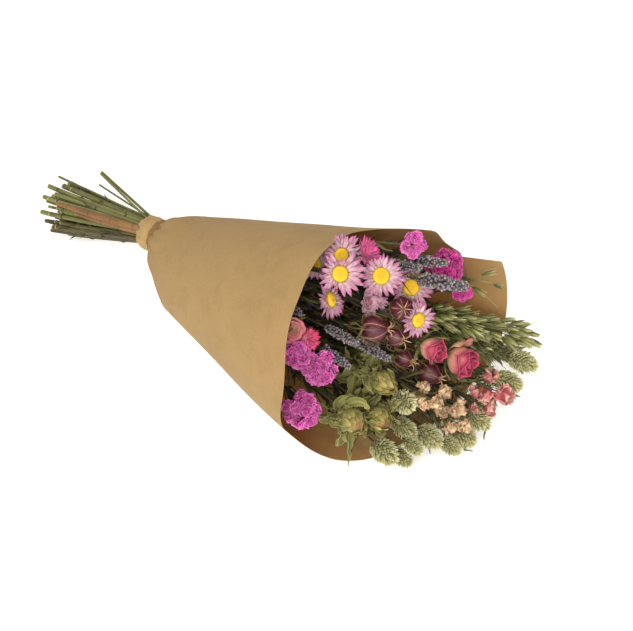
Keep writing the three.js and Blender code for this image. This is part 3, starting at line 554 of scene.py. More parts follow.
# Middle, way it looks, bunch, radius, and length; a daisy has its disc's radius or its form there
PLANTING = {
    "everlasting": [
        ((226, 17, 72), "open", "everlasting", 18, 6),
        ((246, -7, 81), "open", "everlasting", 19, 6.8),
        ((204, 5, 61), "open", "everlasting", 15, 6),
        ((236, -14, 52), (0.85, 0.39, 0.35), "everlasting", 16, 6.6),
        ((264, 20, 64), "open", "everlasting", 18, 7.2),
        ((274, 42, 36), "open", "everlasting", 18, 7),
        ((292, 25, 22), (0.88, -0.17, 0.35), "everlasting", 16, 6.4),
        ((242, 32, 70), (0.75, 0.55, 0.45), "everlasting", 15, "shuttlecock"),
        ((228, -41, 24), "half", "left", 13, "button"),
        ((244, 22, 20), "half", "everlasting", 13, "folded"),
    ],
    "statice": [
        ((224, -53, 18), "little", "left", 14, 22),
        ((238, -46, -2), "little", "left", 15, 24),
        ((236, -74, -28), "little", "left", 16, 34),
        ((274, 54, 76), "little", "right", 13, 20),
        ((284, 77, 33), "little", "right", 18, 30),
        ((298, 78, 10), "little", "right", 10, 24),
    ],
    "lavender": [
        ((242, -16, 13), "stem", "left", 5.4, 36),
        ((258, -1, -10), "stem", "centre", 6, 38),
        ((244, -30, 0), "stem", "left", 5.4, 33),
        ((266, 45, 55), "stem", "right", 6, 34),
        ((282, 60, 55), "stem", "right", 6, 34),
        ((302, 51, 48), "stem", "right", 7.4, 44),
        ((214, -35, 46), "stem", "everlasting", 4.4, 20),
    ],
    "nigella": [
        ((262, 4, 14), (0.9, 0.36, 0.14), "centre", 11.5, 23),
        ((278, 23, 30), "open", "everlasting", 9.6, 18),
        ((276, 13, 3), "little", "centre", 8, 16),
        ((272, 22, -35), "little", "centre", 8, 16),
        ((288, 34, -58), "little", "centre", 11, 21),
    ],
    "rose": [
        ((300, 28, -14), (0.87, -0.14, 0.06), "centre", 11, 24),
        ((312, 49, -41), (0.88, 0.04, -0.04), "centre", 14, 27),
        ((218, -48, 38), "half", "left", 10, 20),
    ],
    "safflower": [
        ((280, -59, -31), "half", "safflower", 14.5, 25),
        ((288, -37, -46), "half", "safflower", 14, 25),
        ((276, -12, -31), "little", "safflower", 12, 23),
    ],
    "phalaris": [
        ((352, 83, -53), "grass", "phalaris", 9, 27),
        ((344, 70, -71), "grass", "phalaris", 9, 27),
        ((332, 37, -96), "grass", "phalaris", 9.5, 26),
        ((326, 21, -106), "grass", "phalaris", 10, 27),
        ((324, 6, -106), "grass", "phalaris", 7.5, 23),
        ((308, -2, -95), "grass", "phalaris", 9.5, 27),
        ((292, -14, -81), "grass", "phalaris", 8.5, 26),
        ((292, -8, -51), "half", "phalaris", 9.5, 25),
        ((308, -23, -86), "grass", "phalaris", 7, 22),
        ((292, -43, -82), "grass", "phalaris", 10, 27),
        ((298, -29, -102), "grass", "phalaris", 7.5, 23),
    ],
    "oat": [
        ((288, 62, -13), "stem", "oat", 9, 36),
        ((302, 78, -27), "stem", "oat", 9, 36),
        ((316, 89, -37), "stem", "oat", 9, 36),
        ((342, 94, -34), "stem", "oat", 9, 34),
        ((310, 80, -54), "stem", "oat", 9, 34),
        ((324, 98, -68), "stem", "oat", 9, 34),
        ((312, 96, 14), "stem", "oat", 7, 30),
        ((294, 69, -41), "stem", "oat", 8, 32),
    ],
    "larkspur": [
        ((302, 9, -55), "little", "larkspur_cream", 10.5, 28),
        ((310, 23, -73), "little", "larkspur_cream", 12, 28),
        ((322, 16, -82), "little", "larkspur_cream", 10.5, 24),
        ((334, 57, -73), "little", "larkspur_pink", 12, 28),
        ((324, 48, -90), "little", "larkspur_pink", 10.5, 24),
    ],
}


def size_of(kind, radius, other):
    if kind != "everlasting":
        return {"radius": radius, "length": other}
    return {"radius": radius, "form" if isinstance(other, str) else "disc": other}


def make_plan():
    plan = []
    for kind, heads in PLANTING.items():
        for number, (at, face, bunch, *measures) in enumerate(heads, start=1):
            size = size_of(kind, *measures)
            way = direction(*face) if isinstance(face, tuple) else (
                direction(*at).lerp(OPEN_SIDE, FACING[face]).normalized())
            height = size["length"] / 2 if "length" in size else EVERLASTING_MIDDLE
            plan.append({"name": f"{kind}_{number}", "kind": kind, "face": face, "bunch": bunch,
                         "size": size, "way": way, "base": place(*at) - way * height * MM})
    return plan


PLAN = make_plan()
print("heads:", len(PLAN))

# %% Seeded chance, so that each run gives the same bouquet
class Chance:
    def __init__(self, seed):
        self.seed = seed

    def share(self):
        self.seed = (self.seed * 1664525 + 1013904223) % 4294967296
        return self.seed / 4294967296

    def between(self, low, high):
        return low + (high - low) * self.share()

    def vector(self, size):
        """Three draws, each from minus to plus the size."""
        return Vector([self.between(-size, size) for _ in range(3)])


print("three draws with the seed 1:", [round(value, 3) for value in Chance(1).vector(1)])

# %% Deal out the cells of the neck
STEM_PITCH = 3.0            # from the middle of a stem to its neighbour's, mm
NECK_LENGTH = 9             # the straight piece of stem right below a head, mm
HALF_GRID = 6               # cells to each side of the middle one


def neck_cells(count):
    cells = []
    for row in range(-HALF_GRID, HALF_GRID + 1):
        for column in range(-HALF_GRID, HALF_GRID + 1):
            side = (column + (row & 1) / 2) * STEM_PITCH
            up = row * STEM_PITCH * math.sqrt(3) / 2
            cells.append((side, up))
    return sorted(cells, key=lambda cell: math.hypot(*cell) + 0.001 * cell[0])[:count]


def fan_place(flower):
    """Where the stem would meet a plane one unit away from the neck."""
    reach = flower["base"] - flower["way"] * NECK_LENGTH * MM - NECK
    along = reach.dot(ALONG)
    return reach.dot(SIDE) / along, reach.dot(UP) / along


def deal_cells(plan):
    cells = neck_cells(len(plan))
    fans = [fan_place(flower) for flower in plan]

    def gain(flower, cell):
        return fans[flower][0] * cells[cell][0] + fans[flower][1] * cells[cell][1]

    dealt = list(range(len(plan)))
    swapped = True
    while swapped:
        swapped = False
        for one in range(len(dealt)):
            for other in range(one + 1, len(dealt)):
                now = gain(one, dealt[one]) + gain(other, dealt[other])
                then = gain(one, dealt[other]) + gain(other, dealt[one])
                if then > now + 1e-9:
                    dealt[one], dealt[other] = dealt[other], dealt[one]
                    swapped = True
    for flower, cell in zip(plan, dealt):
        flower["cell"] = cells[cell]


deal_cells(PLAN)
print("widest cell from the middle, mm:", round(max(math.hypot(*flower["cell"]) for flower in PLAN), 1))

# %% Run each stem from its cut end through the neck to its head
BEND_ALONG = -14            # where the stems leave the neck, mm
TAIL_YAW, TAIL_DIP = math.radians(8), math.radians(15)
TAIL_LENGTHS = (88, 124)
TAIL_SPREAD = 1.15 / 90     # how fast the tails part, for each mm of their length
END_JITTER = 1.3

TAIL_WAY = Vector((-math.cos(TAIL_DIP) * math.cos(TAIL_YAW),
                   -math.cos(TAIL_DIP) * math.sin(TAIL_YAW), -math.sin(TAIL_DIP)))
TAIL_SIDE = -UPRIGHT.cross(TAIL_WAY).normalized()
TAIL_UP = TAIL_SIDE.cross(TAIL_WAY).normalized()


def run_stems(plan):
    chance = Chance(20417)
    for flower in plan:
        side, up = flower["cell"]
        length = chance.between(*TAIL_LENGTHS)
        spread = 1 + TAIL_SPREAD * length
        tail = place(BEND_ALONG, 0, 0) + TAIL_WAY * length * MM
        tail += TAIL_SIDE * (side * spread + chance.between(-END_JITTER, END_JITTER)) * MM
        tail += TAIL_UP * (up * spread + chance.between(-END_JITTER, END_JITTER)) * MM
        path = [tail, place(BEND_ALONG, side, up), place(2, side, up)]
        if flower["face"] not in ("stem", "grass"):
            path.append(flower["base"] - flower["way"] * NECK_LENGTH * MM)
        flower["path"] = path + [flower["base"]]


run_stems(PLAN)
print("lowest cut end, mm:", round(min(flower["path"][0].z for flower in PLAN) / MM, 1))

# %% [markdown]
# Now the way of copying. A shape is modelled once with ordinary tools and then read as a
# pattern: its points, its faces and its UV map. Copies of patterns are turned, scaled or bent
# along a path, and all the copies that make one head become one mesh of their own. That keeps
# thousands of small petals quick to build.

# %% Take a pattern from a modelled shape
def take_pattern(piece, uv_of=None):
    """Reads a modelled shape and removes it. uv_of gives (across, along) for a point in mm."""
    mesh = piece.data
    points = np.empty(len(mesh.vertices) * 3)
    mesh.vertices.foreach_get("co", points)
    points = points.reshape(-1, 3)
    corners = np.empty(len(mesh.loops), dtype=np.int32)
    mesh.loops.foreach_get("vertex_index", corners)
    starts = np.empty(len(mesh.polygons), dtype=np.int32)
    mesh.polygons.foreach_get("loop_start", starts)
    if uv_of:
        uv = np.array([uv_of(*(point / MM)) for point in points])[corners]
        for first, last in zip(starts, list(starts[1:]) + [len(corners)]):
            across = uv[first:last, 0]
            if across.max() - across.min() > 0.5:
                across[across < 0.5] += 1
    else:
        uv = np.empty(len(mesh.loops) * 2)
        mesh.uv_layers[0].data.foreach_get("uv", uv)
        uv = uv.reshape(-1, 2)
    print(f"{piece.name}: {len(starts)} faces")
    bpy.data.objects.remove(piece)
    return {"points": points, "corners": corners, "starts": starts, "uv": uv}


def round_uv(low, high):
    """A UV for an upright body: round it, and from its lowest to its highest point."""
    def uv_of(x, y, z):
        return (math.atan2(y, x) / math.tau) % 1, (z - low) / (high - low)
    return uv_of


print("a quarter turn round and half way up:", round_uv(0, 2)(0, 1, 1))

# %% Gather copies into one piece
def firsts(counts):
    """Where each copy's numbers begin once all of them stand in one row."""
    return np.concatenate([[0], np.cumsum(counts)[:-1]]).astype(np.int32)


def gather(name, parts, materials, node, slot):
    """parts are (pattern, points, tint, material number). The piece replaces that node."""
    patterns, points, tints, finishes = zip(*parts)
    counts = [len(rows) for rows in points]
    loops = [len(pattern["corners"]) for pattern in patterns]
    corners = np.concatenate([
        pattern["corners"] + first for pattern, first in zip(patterns, firsts(counts))])
    starts = np.concatenate([
        pattern["starts"] + first for pattern, first in zip(patterns, firsts(loops))])
    finish = np.repeat(finishes, [len(pattern["starts"]) for pattern in patterns])
    mesh = bpy.data.meshes.new(name)
    mesh.vertices.add(sum(counts))
    mesh.vertices.foreach_set("co", np.concatenate(points).ravel())
    mesh.loops.add(len(corners))
    mesh.loops.foreach_set("vertex_index", corners.astype(np.int32))
    mesh.polygons.add(len(starts))
    mesh.polygons.foreach_set("loop_start", starts.astype(np.int32))
    mesh.polygons.foreach_set("material_index", finish.astype(np.int32))
    mesh.uv_layers.new(name="UVMap")
    uv = np.concatenate([pattern["uv"] for pattern in patterns])
    mesh.uv_layers[0].data.foreach_set("uv", uv.ravel())
    tint = mesh.attributes.new("tint", "FLOAT", "POINT")
    tint.data.foreach_set("value", np.repeat(tints, counts))
    mesh.update(calc_edges=True)
    piece = bpy.data.objects.new(name, mesh)
    bpy.context.collection.objects.link(piece)
    for material in materials:
        mesh.materials.append(material)
    hand_over(piece, 55, node, slot)


print("copies of 4, 4 and 3 points begin at:", firsts([4, 4, 3]).tolist())

# %% Ways to set a copy in its place
def put(pattern, matrix, tint, finish=0):
    """A part for gather: the pattern after a turn, a scale and a move."""
    turned = np.array(matrix)
    return pattern, pattern["points"] @ turned[:3, :3].T + turned[:3, 3], tint, finish


def turned_to(way):
    """The turn that brings an upright shape to that way."""
    return UPRIGHT.rotation_difference(way).to_matrix().to_4x4()


def head_frame(flower):
    """From a head's own axes, base at the origin and growing up, to its place on its stem."""
    return Matrix.Translation(flower["base"]) @ turned_to(flower["way"])


def leaf_frame(root, forward, normal, length, width=None):
    """A sheet that grows along its Y from root, with its face to the normal."""
    forward = Vector(forward).normalized()
    across = forward.cross(Vector(normal)).normalized()
    face = across.cross(forward)
    turn = Matrix((across, forward, face)).transposed().to_4x4()
    scale = Matrix.Diagonal((width or length, length, width or length, 1))
    return Matrix.Translation(Vector(root)) @ turn @ scale


def outwards(angle):
    """Level and away from a head's axis."""
    return Vector((math.cos(angle), math.sin(angle), 0))


def plant(kind, make, seed):
    """Makes every head of a kind, all with one chain of seeded chance."""
    chance = Chance(seed)
    heads = [flower for flower in PLAN if flower["kind"] == kind]
    for flower in heads:
        size = flower["size"]
        make(flower, head_frame(flower), size["radius"], size.get("length"), chance)
    print(f"{kind} heads:", len(heads))


print("the first head's own up, in the room:", [round(value, 2) for value in PLAN[0]["way"]])

# %% [markdown]
# Two starting shapes serve for nearly all plants. A body is grown ring by ring: a filled
# circle is extruded upwards and scaled at each step. A blade starts as a flat grid whose
# points are moved to a curved form, and gets its wall from Solidify.

# %% Grow a body ring by ring
def grow(name, sides, rings):
    """rings are (height, radius) in mm, from the bottom up."""
    deselect()
    height, radius = rings[0]
    bpy.ops.mesh.primitive_circle_add(vertices=sides, radius=radius * MM, fill_type="NGON")
    piece = name_piece(name)
    bpy.ops.object.mode_set(mode="EDIT")
    bpy.ops.mesh.select_all(action="SELECT")
    bpy.ops.transform.translate(value=(0, 0, height * MM))
    for next_height, next_radius in rings[1:]:
        bpy.ops.mesh.extrude_region_move(
            TRANSFORM_OT_translate={"value": (0, 0, (next_height - height) * MM)})
        ratio = next_radius / radius
        bpy.ops.transform.resize(value=(ratio, ratio, 1), center_override=(0, 0, next_height * MM))
        height, radius = next_height, next_radius
    bpy.ops.mesh.select_all(action="SELECT")
    bpy.ops.mesh.normals_make_consistent(inside=False)
    bpy.ops.object.mode_set(mode="OBJECT")
    return piece


def body(name, sides, rings):
    """The pattern of a body, its UV reaching from its lowest ring to its highest."""
    heights = [height for height, _ in rings]
    return take_pattern(grow(name, sides, rings), round_uv(min(heights), max(heights)))


def blade(name, columns, rows, rule, thickness, wrap=False):
    """The pattern of a sheet whose points in mm come from rule(across, along), with across from
    -1 to 1 and along from 0 to 1. A wrapped one is closed where its two sides meet."""
    deselect()
    bpy.ops.mesh.primitive_grid_add(x_subdivisions=columns, y_subdivisions=rows, size=2)
    piece = name_piece(name)
    for vertex in piece.data.vertices:
        vertex.co = Vector(rule(vertex.co.x, (vertex.co.y + 1) / 2)) * MM
    if wrap:
        in_edit_mode(piece, lambda: bpy.ops.mesh.remove_doubles(threshold=0.01 * MM), faces_outwards)
    apply_modifier(piece, "SOLIDIFY", thickness=thickness * MM, offset=0)
    return take_pattern(piece)


def rod(name, sides, steps):
    """The pattern of an upright rod one unit high and one unit in radius, with the steps at
    which it may bend."""
    piece = grow(name, sides, [(step / steps * 1000, 1000) for step in range(steps + 1)])
    return take_pattern(piece, lambda x, y, z: ((math.atan2(y, x) / math.tau) % 1, z / 1000))


STALK = rod("stalk", 8, 44)
TWIG = rod("twig", 5, 10)
THREAD = rod("thread", 4, 8)

# %% Bend a rod along a path
def rounded_path(points, spacing=3.0, rounding=3):
    """Points at an even spacing along straight runs, with the corners rounded off."""
    spots = np.array([list(point) for point in points])
    lengths = np.concatenate([[0], np.cumsum(np.linalg.norm(np.diff(spots, axis=0), axis=1))])
    count = max(4, int(lengths[-1] / (spacing * MM)))
    even = np.linspace(0, lengths[-1], count)
    path = np.stack([np.interp(even, lengths, spots[:, axis]) for axis in range(3)], axis=1)
    for _ in range(rounding):
        path[1:-1] = (path[:-2] + path[1:-1] * 2 + path[2:]) / 4
    return path


def bend(pattern, path, radii, tint, finish=0):
    """A part for gather: the rod along the path, with its radius in mm read evenly along it."""
    path = np.asarray(path, dtype=float)
    ways = np.gradient(path, axis=0)
    ways /= np.linalg.norm(ways, axis=1)[:, None]
    normals = np.empty_like(path)
    start = np.cross(ways[0], [0, 0, 1] if abs(ways[0][2]) < 0.9 else [1, 0, 0])
    normals[0] = start / np.linalg.norm(start)
    for step in range(1, len(path)):
        carried = normals[step - 1] - ways[step] * normals[step - 1].dot(ways[step])
        normals[step] = carried / np.linalg.norm(carried)
    others = np.cross(ways, normals)
    x, y, z = pattern["points"].T
    at = z * (len(path) - 1)
    steps = np.arange(len(path))

    def sample(rows):
        return np.stack([np.interp(at, steps, rows[:, axis]) for axis in range(3)], axis=1)

    radius = np.interp(z, np.linspace(0, 1, len(radii)), radii) * MM
    outward = sample(normals) * (x * radius)[:, None]
    return pattern, sample(path) + outward + sample(others) * (y * radius)[:, None], tint, finish


print("stops on a straight way of 30 mm:", len(rounded_path([(0, 0, 0), (0, 0, 30 * MM)])))

# %% [markdown]
# The stalks are dried straw: olive green with yellow streaks along them, a darker ring at
# each leaf joint, and a pale pith where they were cut. They keep the neck's honeycomb and are
# never quite straight. Where they lie deep inside the cone they are painted dark brown: painted shade.

# %% Stalk material
def streaks(tree, facts, across, along, apart, scale, detail):
    """Noise drawn out along a stalk or a petal, and another part of it for each copy."""
    spots = [maths(tree, "MULTIPLY", facts[fact], times)
             for fact, times in (("across", across), ("along", along), ("tint", apart))]
    at = add_node(tree, "ShaderNodeCombineXYZ", X=spots[0], Y=spots[1], Z=spots[2])
    noise = add_node(tree, "ShaderNodeTexNoise", Vector=at.outputs[0], Scale=scale, Detail=detail)
    return noise.outputs[0]


def stalk_material(name, green, straw, inner_shade=0.0):
    """Streaked straw. From halfway up, where it lies deep inside the cone, it is painted dark brown by the
    given share: painted shade.
    """
    material, tree, shader, facts = start_material(name, blotch=35.0)
    lines = streaks(tree, facts, 7.0, 3.0, 40.0, scale=2.2, detail=3.0)
    share = maths(tree, "ADD", maths(tree, "MULTIPLY", facts["tint"], 0.75),
                  maths(tree, "SUBTRACT", lines, 0.55))
    mixed = blend_colours(tree, share, green, straw)
    rings = maths(tree, "FRACT", maths(tree, "ADD", maths(tree, "MULTIPLY", facts["along"], 4.6),
                                       maths(tree, "MULTIPLY", facts["tint"], 7.0)))
    joint = maths(tree, "LESS_THAN", rings, 0.022)
    ringed = blend_colours(tree, joint, varied(tree, mixed, facts, 0.6, 0.04), colour(46, 44, 22))
    cut = maths(tree, "LESS_THAN", facts["along"], 0.002)
    ended = blend_colours(tree, cut, ringed, colour(176, 166, 112))
    # from halfway up the stalk is painted dark brown: painted shade deep inside the cone
    painted_shade = maths(tree, "MULTIPLY", maths(tree, "GREATER_THAN", facts["along"], 0.5), inner_shade)
    ended = blend_colours(tree, painted_shade, ended, colour(52, 43, 24))
    feed_all(tree, shader, Base_Color=ended, Roughness=0.6)
    bump(tree, shader, lines, 0.35, 0.0003)
    return material


STALK_GREEN = stalk_material("stem_green", colour(88, 90, 42), colour(164, 164, 100), 0.75)
# the lower stems get the same straw painted darker: painted shade under the bunch
STALK_SHADED = stalk_material("stem_painted_shade", colour(58, 52, 18), colour(106, 96, 46), 0.75)
SHOOT_GREEN = stalk_material("shoot_green", colour(88, 90, 42), colour(150, 150, 88))
STALK_BROWN = stalk_material("stem_brown", colour(134, 92, 52), colour(170, 130, 82))
print("stalk materials:", [item.name for item in (STALK_GREEN, STALK_SHADED, SHOOT_GREEN, STALK_BROWN)])

# %% Stalks, bunch by bunch
WAVER = 0.9                 # how far a stalk strays from its straight way, mm
LOW_FROM = 3.5              # how far off the neck's middle the darker stems begin, mm
BUNCH_NODES = {
    "everlasting": "everlasting_stems", "left": "left_stems", "right": "right_stems",
    "centre": "centre_stems", "safflower": "safflower_stems", "phalaris": "phalaris_bunch",
    "oat": "oat_bunch", "larkspur_cream": "larkspur_cream_bunch",
    "larkspur_pink": "larkspur_pink_bunch",
}
STALK_RADIUS = {"nigella": 1.0, "lavender": 0.9, "oat": 1.3, "phalaris": 1.2, "rose": 1.7}
USUAL_RADIUS = 1.4
TAPER = (1.1, 1, 0.95, 0.9, 0.85)       # from the neck to the head, as shares of the radius


def wavering(path, chance, size):
    """The path with a slow waver, none at the neck and none at the head."""
    steps = np.linspace(0, 1, len(path))
    free = np.sin(np.pi * steps) ** 0.5
    phase = [chance.between(0, math.tau) for _ in range(3)]
    turns = chance.between(1.5, 3)
    shift = np.stack([np.sin(steps * math.tau * turns + p) for p in phase], axis=1)
    return path + shift * free[:, None] * size * MM


def lies_low(flower):
    """Whether the stem lies on the near and lower side of the bunch, where its straw is painted darker as
    shade.
    """
    side, up = flower["cell"]
    return 0.68 * side + 0.73 * up < -LOW_FROM


stalk_chance = Chance(77)
for bunch, node in BUNCH_NODES.items():
    parts = []
    for flower in (flower for flower in PLAN if flower["bunch"] == bunch):
        path = wavering(rounded_path(flower["path"]), stalk_chance, WAVER)
        thick = STALK_RADIUS.get(flower["kind"], USUAL_RADIUS)
        tail = thick * stalk_chance.between(1.35, 1.85)
        radii = [tail, tail * 0.95] + [thick * share for share in TAPER]
        parts.append(bend(STALK, path, radii, 0.3 + 0.7 * stalk_chance.share(), int(lies_low(flower))))
    gather(f"{bunch}_stalks", parts, [STALK_GREEN, STALK_SHADED], node, "stem_green")
print("stalks:", len(PLAN))

# %% [markdown]
# An everlasting daisy has stiff papery petals in several layers round a yellow dome. The
# outermost lie nearly flat and are the pinkest, and the inner ones stand up and are almost
# white. One narrow pointed petal serves for all of them, longer or shorter.

# %% Petal material
def petal_material(name, stops, vein, roughness=0.55, sheen=0.05, dark=0.2, pale=0.16, veins=1.0,
                   ribbed=False):
    """Petals coloured from root to tip by the stops (place, red, green, blue), with darker veins
    along them. A ribbed one has a pale midrib and pale margins, as a dried leaf has."""
    material, tree, shader, facts = start_material(name, blotch=110.0)
    base = ramp(tree, facts["along"], [(at, colour(*shade)) for at, *shade in stops])
    lines = streaks(tree, facts, 14.0, 1.6, 60.0, scale=1.0, detail=2.0)
    share = maths(tree, "MULTIPLY", maths(tree, "SUBTRACT", lines, 0.42), 2.2 * veins)
    share = add_node(tree, "ShaderNodeClamp", Value=share).outputs[0]
    veined = blend_colours(tree, share, base, colour(*vein))
    if ribbed:
        light, mid, shade = ((value,) * 3 + (1,) for value in (1.45, 1.0, 0.72))
        rib = ramp(tree, facts["across"], [
            (0.0, light), (0.08, mid), (0.25, shade), (0.46, mid), (0.5, light), (0.54, mid),
            (0.75, shade), (0.92, mid), (1.0, light)])
        veined = blend_colours(tree, 1.0, veined, rib, "MULTIPLY")
    feed_all(tree, shader, Base_Color=varied(tree, veined, facts, dark, pale), Roughness=roughness,
             Sheen_Weight=sheen)
    bump(tree, shader, lines, 0.3, 0.0002)
    return material


PETAL_PALE = petal_material("petal_pale", [
    (0.0, 212, 192, 190), (0.5, 206, 170, 184), (0.82, 190, 124, 158), (1.0, 162, 64, 116)],
    (158, 92, 130))
# a paler copy of the pale petals for the folded bloom: partly its own paler pink, partly painted light that
# lifts it out of the shade of the heads round it
PETAL_PALE_LIT = petal_material("petal_pale_painted_light", [
    (0.0, 236, 218, 214), (0.6, 232, 198, 210), (1.0, 208, 146, 178)], (192, 130, 160), pale=0.12)
PETAL_DEEP = petal_material("petal_deep", [
    (0.0, 246, 206, 222), (0.35, 240, 150, 198), (1.0, 224, 60, 146)], (208, 52, 132), dark=0.12,
    pale=0.22)
PETAL_HOT = petal_material("petal_hot", [
    (0.0, 244, 206, 216), (0.3, 234, 122, 160), (1.0, 218, 36, 96)], (196, 34, 92), dark=0.15,
    pale=0.25)
CUP_SCALES = petal_material("cup_scales", [
    (0.0, 150, 128, 84), (0.6, 190, 142, 130), (1.0, 204, 120, 140)], (140, 96, 80))
print("petals:", PETAL_PALE.name, PETAL_PALE_LIT.name, PETAL_DEEP.name, PETAL_HOT.name, CUP_SCALES.name)

# %% Disc material: yellow, greener and darker in its dimple
def disc_material():
    material, tree, shader, facts = start_material("disc_yellow", blotch=220.0)
    base = ramp(tree, facts["tint"], [(0.0, colour(176, 116, 26)), (0.25, colour(208, 164, 30)),
                                      (0.84, colour(216, 178, 36)), (1.0, colour(140, 112, 30))])
    tip = ramp(tree, facts["along"], [(0.0, (0.5, 0.36, 0.16, 1)), (0.7, (1, 1, 1, 1))])
    feed_all(tree, shader, Base_Color=blend_colours(tree, 1.0, base, tip, "MULTIPLY"), Roughness=0.75)
    bump(tree, shader, facts["grain"], 0.3, 0.0003)
    return material


DISC = disc_material()
print("disc:", DISC.name)

# %% One petal, one disc floret, the dome and the cup
GOLDEN = math.pi * (3 - math.sqrt(5))


def pointed_petal(across, along):
    half = max(0.1, 0.42 * (1 - along) + 1.04 * math.sin(math.pi * along ** 0.9) ** 0.8)
    cupped = 0.32 * half * across ** 2
    return across * half, along * 10, cupped + 1.1 * along ** 2 - 1.0 * along


PETAL = blade("petal", 4, 5, pointed_petal, 0.2)
DISC_FLORET = body("disc_floret", 5, [(0, 0.5), (0.8, 0.52), (1.15, 0.2)])
DOME = body("dome", 18, [(0, 9), (1.6, 9.6), (3.4, 8), (4.4, 4), (4.1, 1)])
CUP = body("cup", 16, [(-0.5, 1.2), (0.6, 2.6), (2.4, 5.6), (4.6, 7.4), (5.4, 6.6)])

# %% A ring of petals
CLEARANCE = 8               # how near to a disc a petal in front of it may come, mm


def sideways(offset):
    """How long an offset is when it is looked at from the open side."""
    return (offset - OPEN_SIDE * offset.dot(OPEN_SIDE)).length


def petal_ring(chance, head, count, root, height, length, tilt, uneven=0.0, width=1.0, clear=()):
    """A ring of petals: root and height in mm, tilt up from flat in radians. A petal that would
    cover one of the discs in clear stays short and stands up."""
    parts = []
    turn = chance.between(0, math.tau)
    for number in range(count):
        angle = turn + (number + chance.between(-0.25, 0.25)) / count * math.tau
        out = outwards(angle)
        lean = tilt + chance.between(-0.22, 0.22) + uneven * math.sin(2 * angle + 1)
        forward = out * math.cos(lean) + UPRIGHT * math.sin(lean)
        twist = Vector((-math.sin(angle), math.cos(angle), 0)) * chance.between(-0.35, 0.35)
        normal = UPRIGHT * math.cos(lean) - out * math.sin(lean) + twist
        start = (out * root + UPRIGHT * height) * MM
        size = length * chance.between(0.8, 1.08) * (1 + uneven * math.cos(angle - 1)) / 10
        tips = [head @ (start + forward * size * share * MM) for share in (6, 10)]
        if any(sideways(tip - disc) < CLEARANCE * MM for tip in tips for disc in clear):
            forward = (forward + UPRIGHT * 0.5).normalized()
            size *= 0.5
        spot = leaf_frame(start, forward, normal, size, size * width)
        parts.append(put(PETAL, head @ spot, chance.share()))
    return parts


print("first two daisies' distance, seen from the open side, mm:",
      round(sideways(PLAN[0]["base"] - PLAN[1]["base"]) / MM, 1))

# %% Blooms
# Layers from outside in: petals, root and length as shares of the radius, height in mm, tilt
FORMS = {
    "open": [(19, 0.33, 0.71, 3.6, -0.04), (19, 0.35, 0.65, 4.3, 0.14), (17, 0.36, 0.54, 5.0, 0.38),
             (13, 0.37, 0.38, 5.4, 0.66)],
    "shuttlecock": [(26, 0.3, 0.74, 2.6, 0.36), (26, 0.28, 0.74, 3.2, 0.6), (24, 0.22, 0.7, 4.0, 0.84),
                    (22, 0.14, 0.66, 4.6, 1.06), (12, 0.06, 0.6, 5.2, 1.3)],
    "button": [(26, 0.3, 0.54, 3.0, 0.2), (26, 0.26, 0.52, 4.0, 0.55), (24, 0.2, 0.46, 5.0, 0.9),
               (20, 0.12, 0.42, 5.6, 1.15), (12, 0.04, 0.36, 6.2, 1.4)],
    "folded": [(16, 0.3, 0.95, 2.8, 0.7), (16, 0.24, 0.92, 3.4, 0.95), (13, 0.16, 0.84, 4.0, 1.2)],
}
CUP_LAYERS = [(12, 0.16, 0.34, 0.8, 0.75), (14, 0.24, 0.38, 2.0, 0.7), (16, 0.3, 0.4, 3.2, 0.45)]
DISC_SEAT = 4.9             # how high the disc sits above the head's base, mm
DISC_FLORETS = 150
DISC_MIDDLES = [flower["base"] + flower["way"] * EVERLASTING_MIDDLE * MM for flower in PLAN
                if "disc" in flower["size"]]


def make_everlasting(flower, head, radius, _, chance):
    name, size = flower["name"], flower["size"]
    form = size.get("form", "open")
    wide = {"folded": 1.9, "open": 1.08}.get(form, 0.9)
    nearer = [at for at in DISC_MIDDLES if (at - flower["base"]).dot(ALONG) < -4 * MM]
    petals, scales = [], []
    for count, root, length, height, tilt in FORMS[form]:
        petals += petal_ring(chance, head, count, root * radius, height, length * radius, tilt, 0.15,
                             wide, nearer)
    for count, root, length, height, tilt in CUP_LAYERS:
        scales += petal_ring(chance, head, count, root * radius, height, length * radius, tilt)
    scales.append(put(CUP, head @ Matrix.Diagonal((radius / 18, radius / 18, 0.95, 1)), 0.3))
    finish = {"open": PETAL_PALE, "folded": PETAL_PALE_LIT}.get(form, PETAL_DEEP)
    finish = PETAL_HOT if name == "everlasting_9" else finish
    node = f"{name}_petals" if "disc" in size else name
    slot = "petal_deep" if finish in (PETAL_DEEP, PETAL_HOT) else "petal_pale"
    gather(f"{name}_bloom", petals, [finish], node, slot)
    gather(f"{name}_cup", scales, [CUP_SCALES], node, "petal_pale")
    if "disc" in size:
        make_disc(name, head, size["disc"], chance)


def make_disc(name, head, radius, chance):
    seat = head @ Matrix.Translation((0, 0, DISC_SEAT * MM))
    parts = [put(DOME, seat @ Matrix.Diagonal((radius / 10, radius / 10, 0.8, 1)), 0.8)]
    for number in range(DISC_FLORETS):
        share = math.sqrt((number + 0.5) / DISC_FLORETS)
        out = outwards(number * GOLDEN)
        rise = DISC_SEAT + 3.3 * math.cos(share * 1.35) - 1.1 * math.exp(-(share / 0.22) ** 2)
        turn = turned_to((out * share * 0.8 + UPRIGHT).normalized())
        spot = Matrix.Translation((out * share * radius * 0.97 + UPRIGHT * rise) * MM)
        size = radius / 6.5 * chance.between(0.8, 1.05)
        parts.append(put(DISC_FLORET, head @ spot @ turn @ Matrix.Scale(size, 4), share))
    gather(f"{name}_florets", parts, [DISC], f"{name}_disc", "disc_yellow")


plant("everlasting", make_everlasting, 311)

# %% [markdown]
# Statice is a branched tuft: each short winged twig ends in a small crowd of paper funnels
# with ruffled rims. The crowds stand apart, so the whole is uneven and full of dark gaps. The
# funnel is a blade wound round itself, with five lobes at its rim.

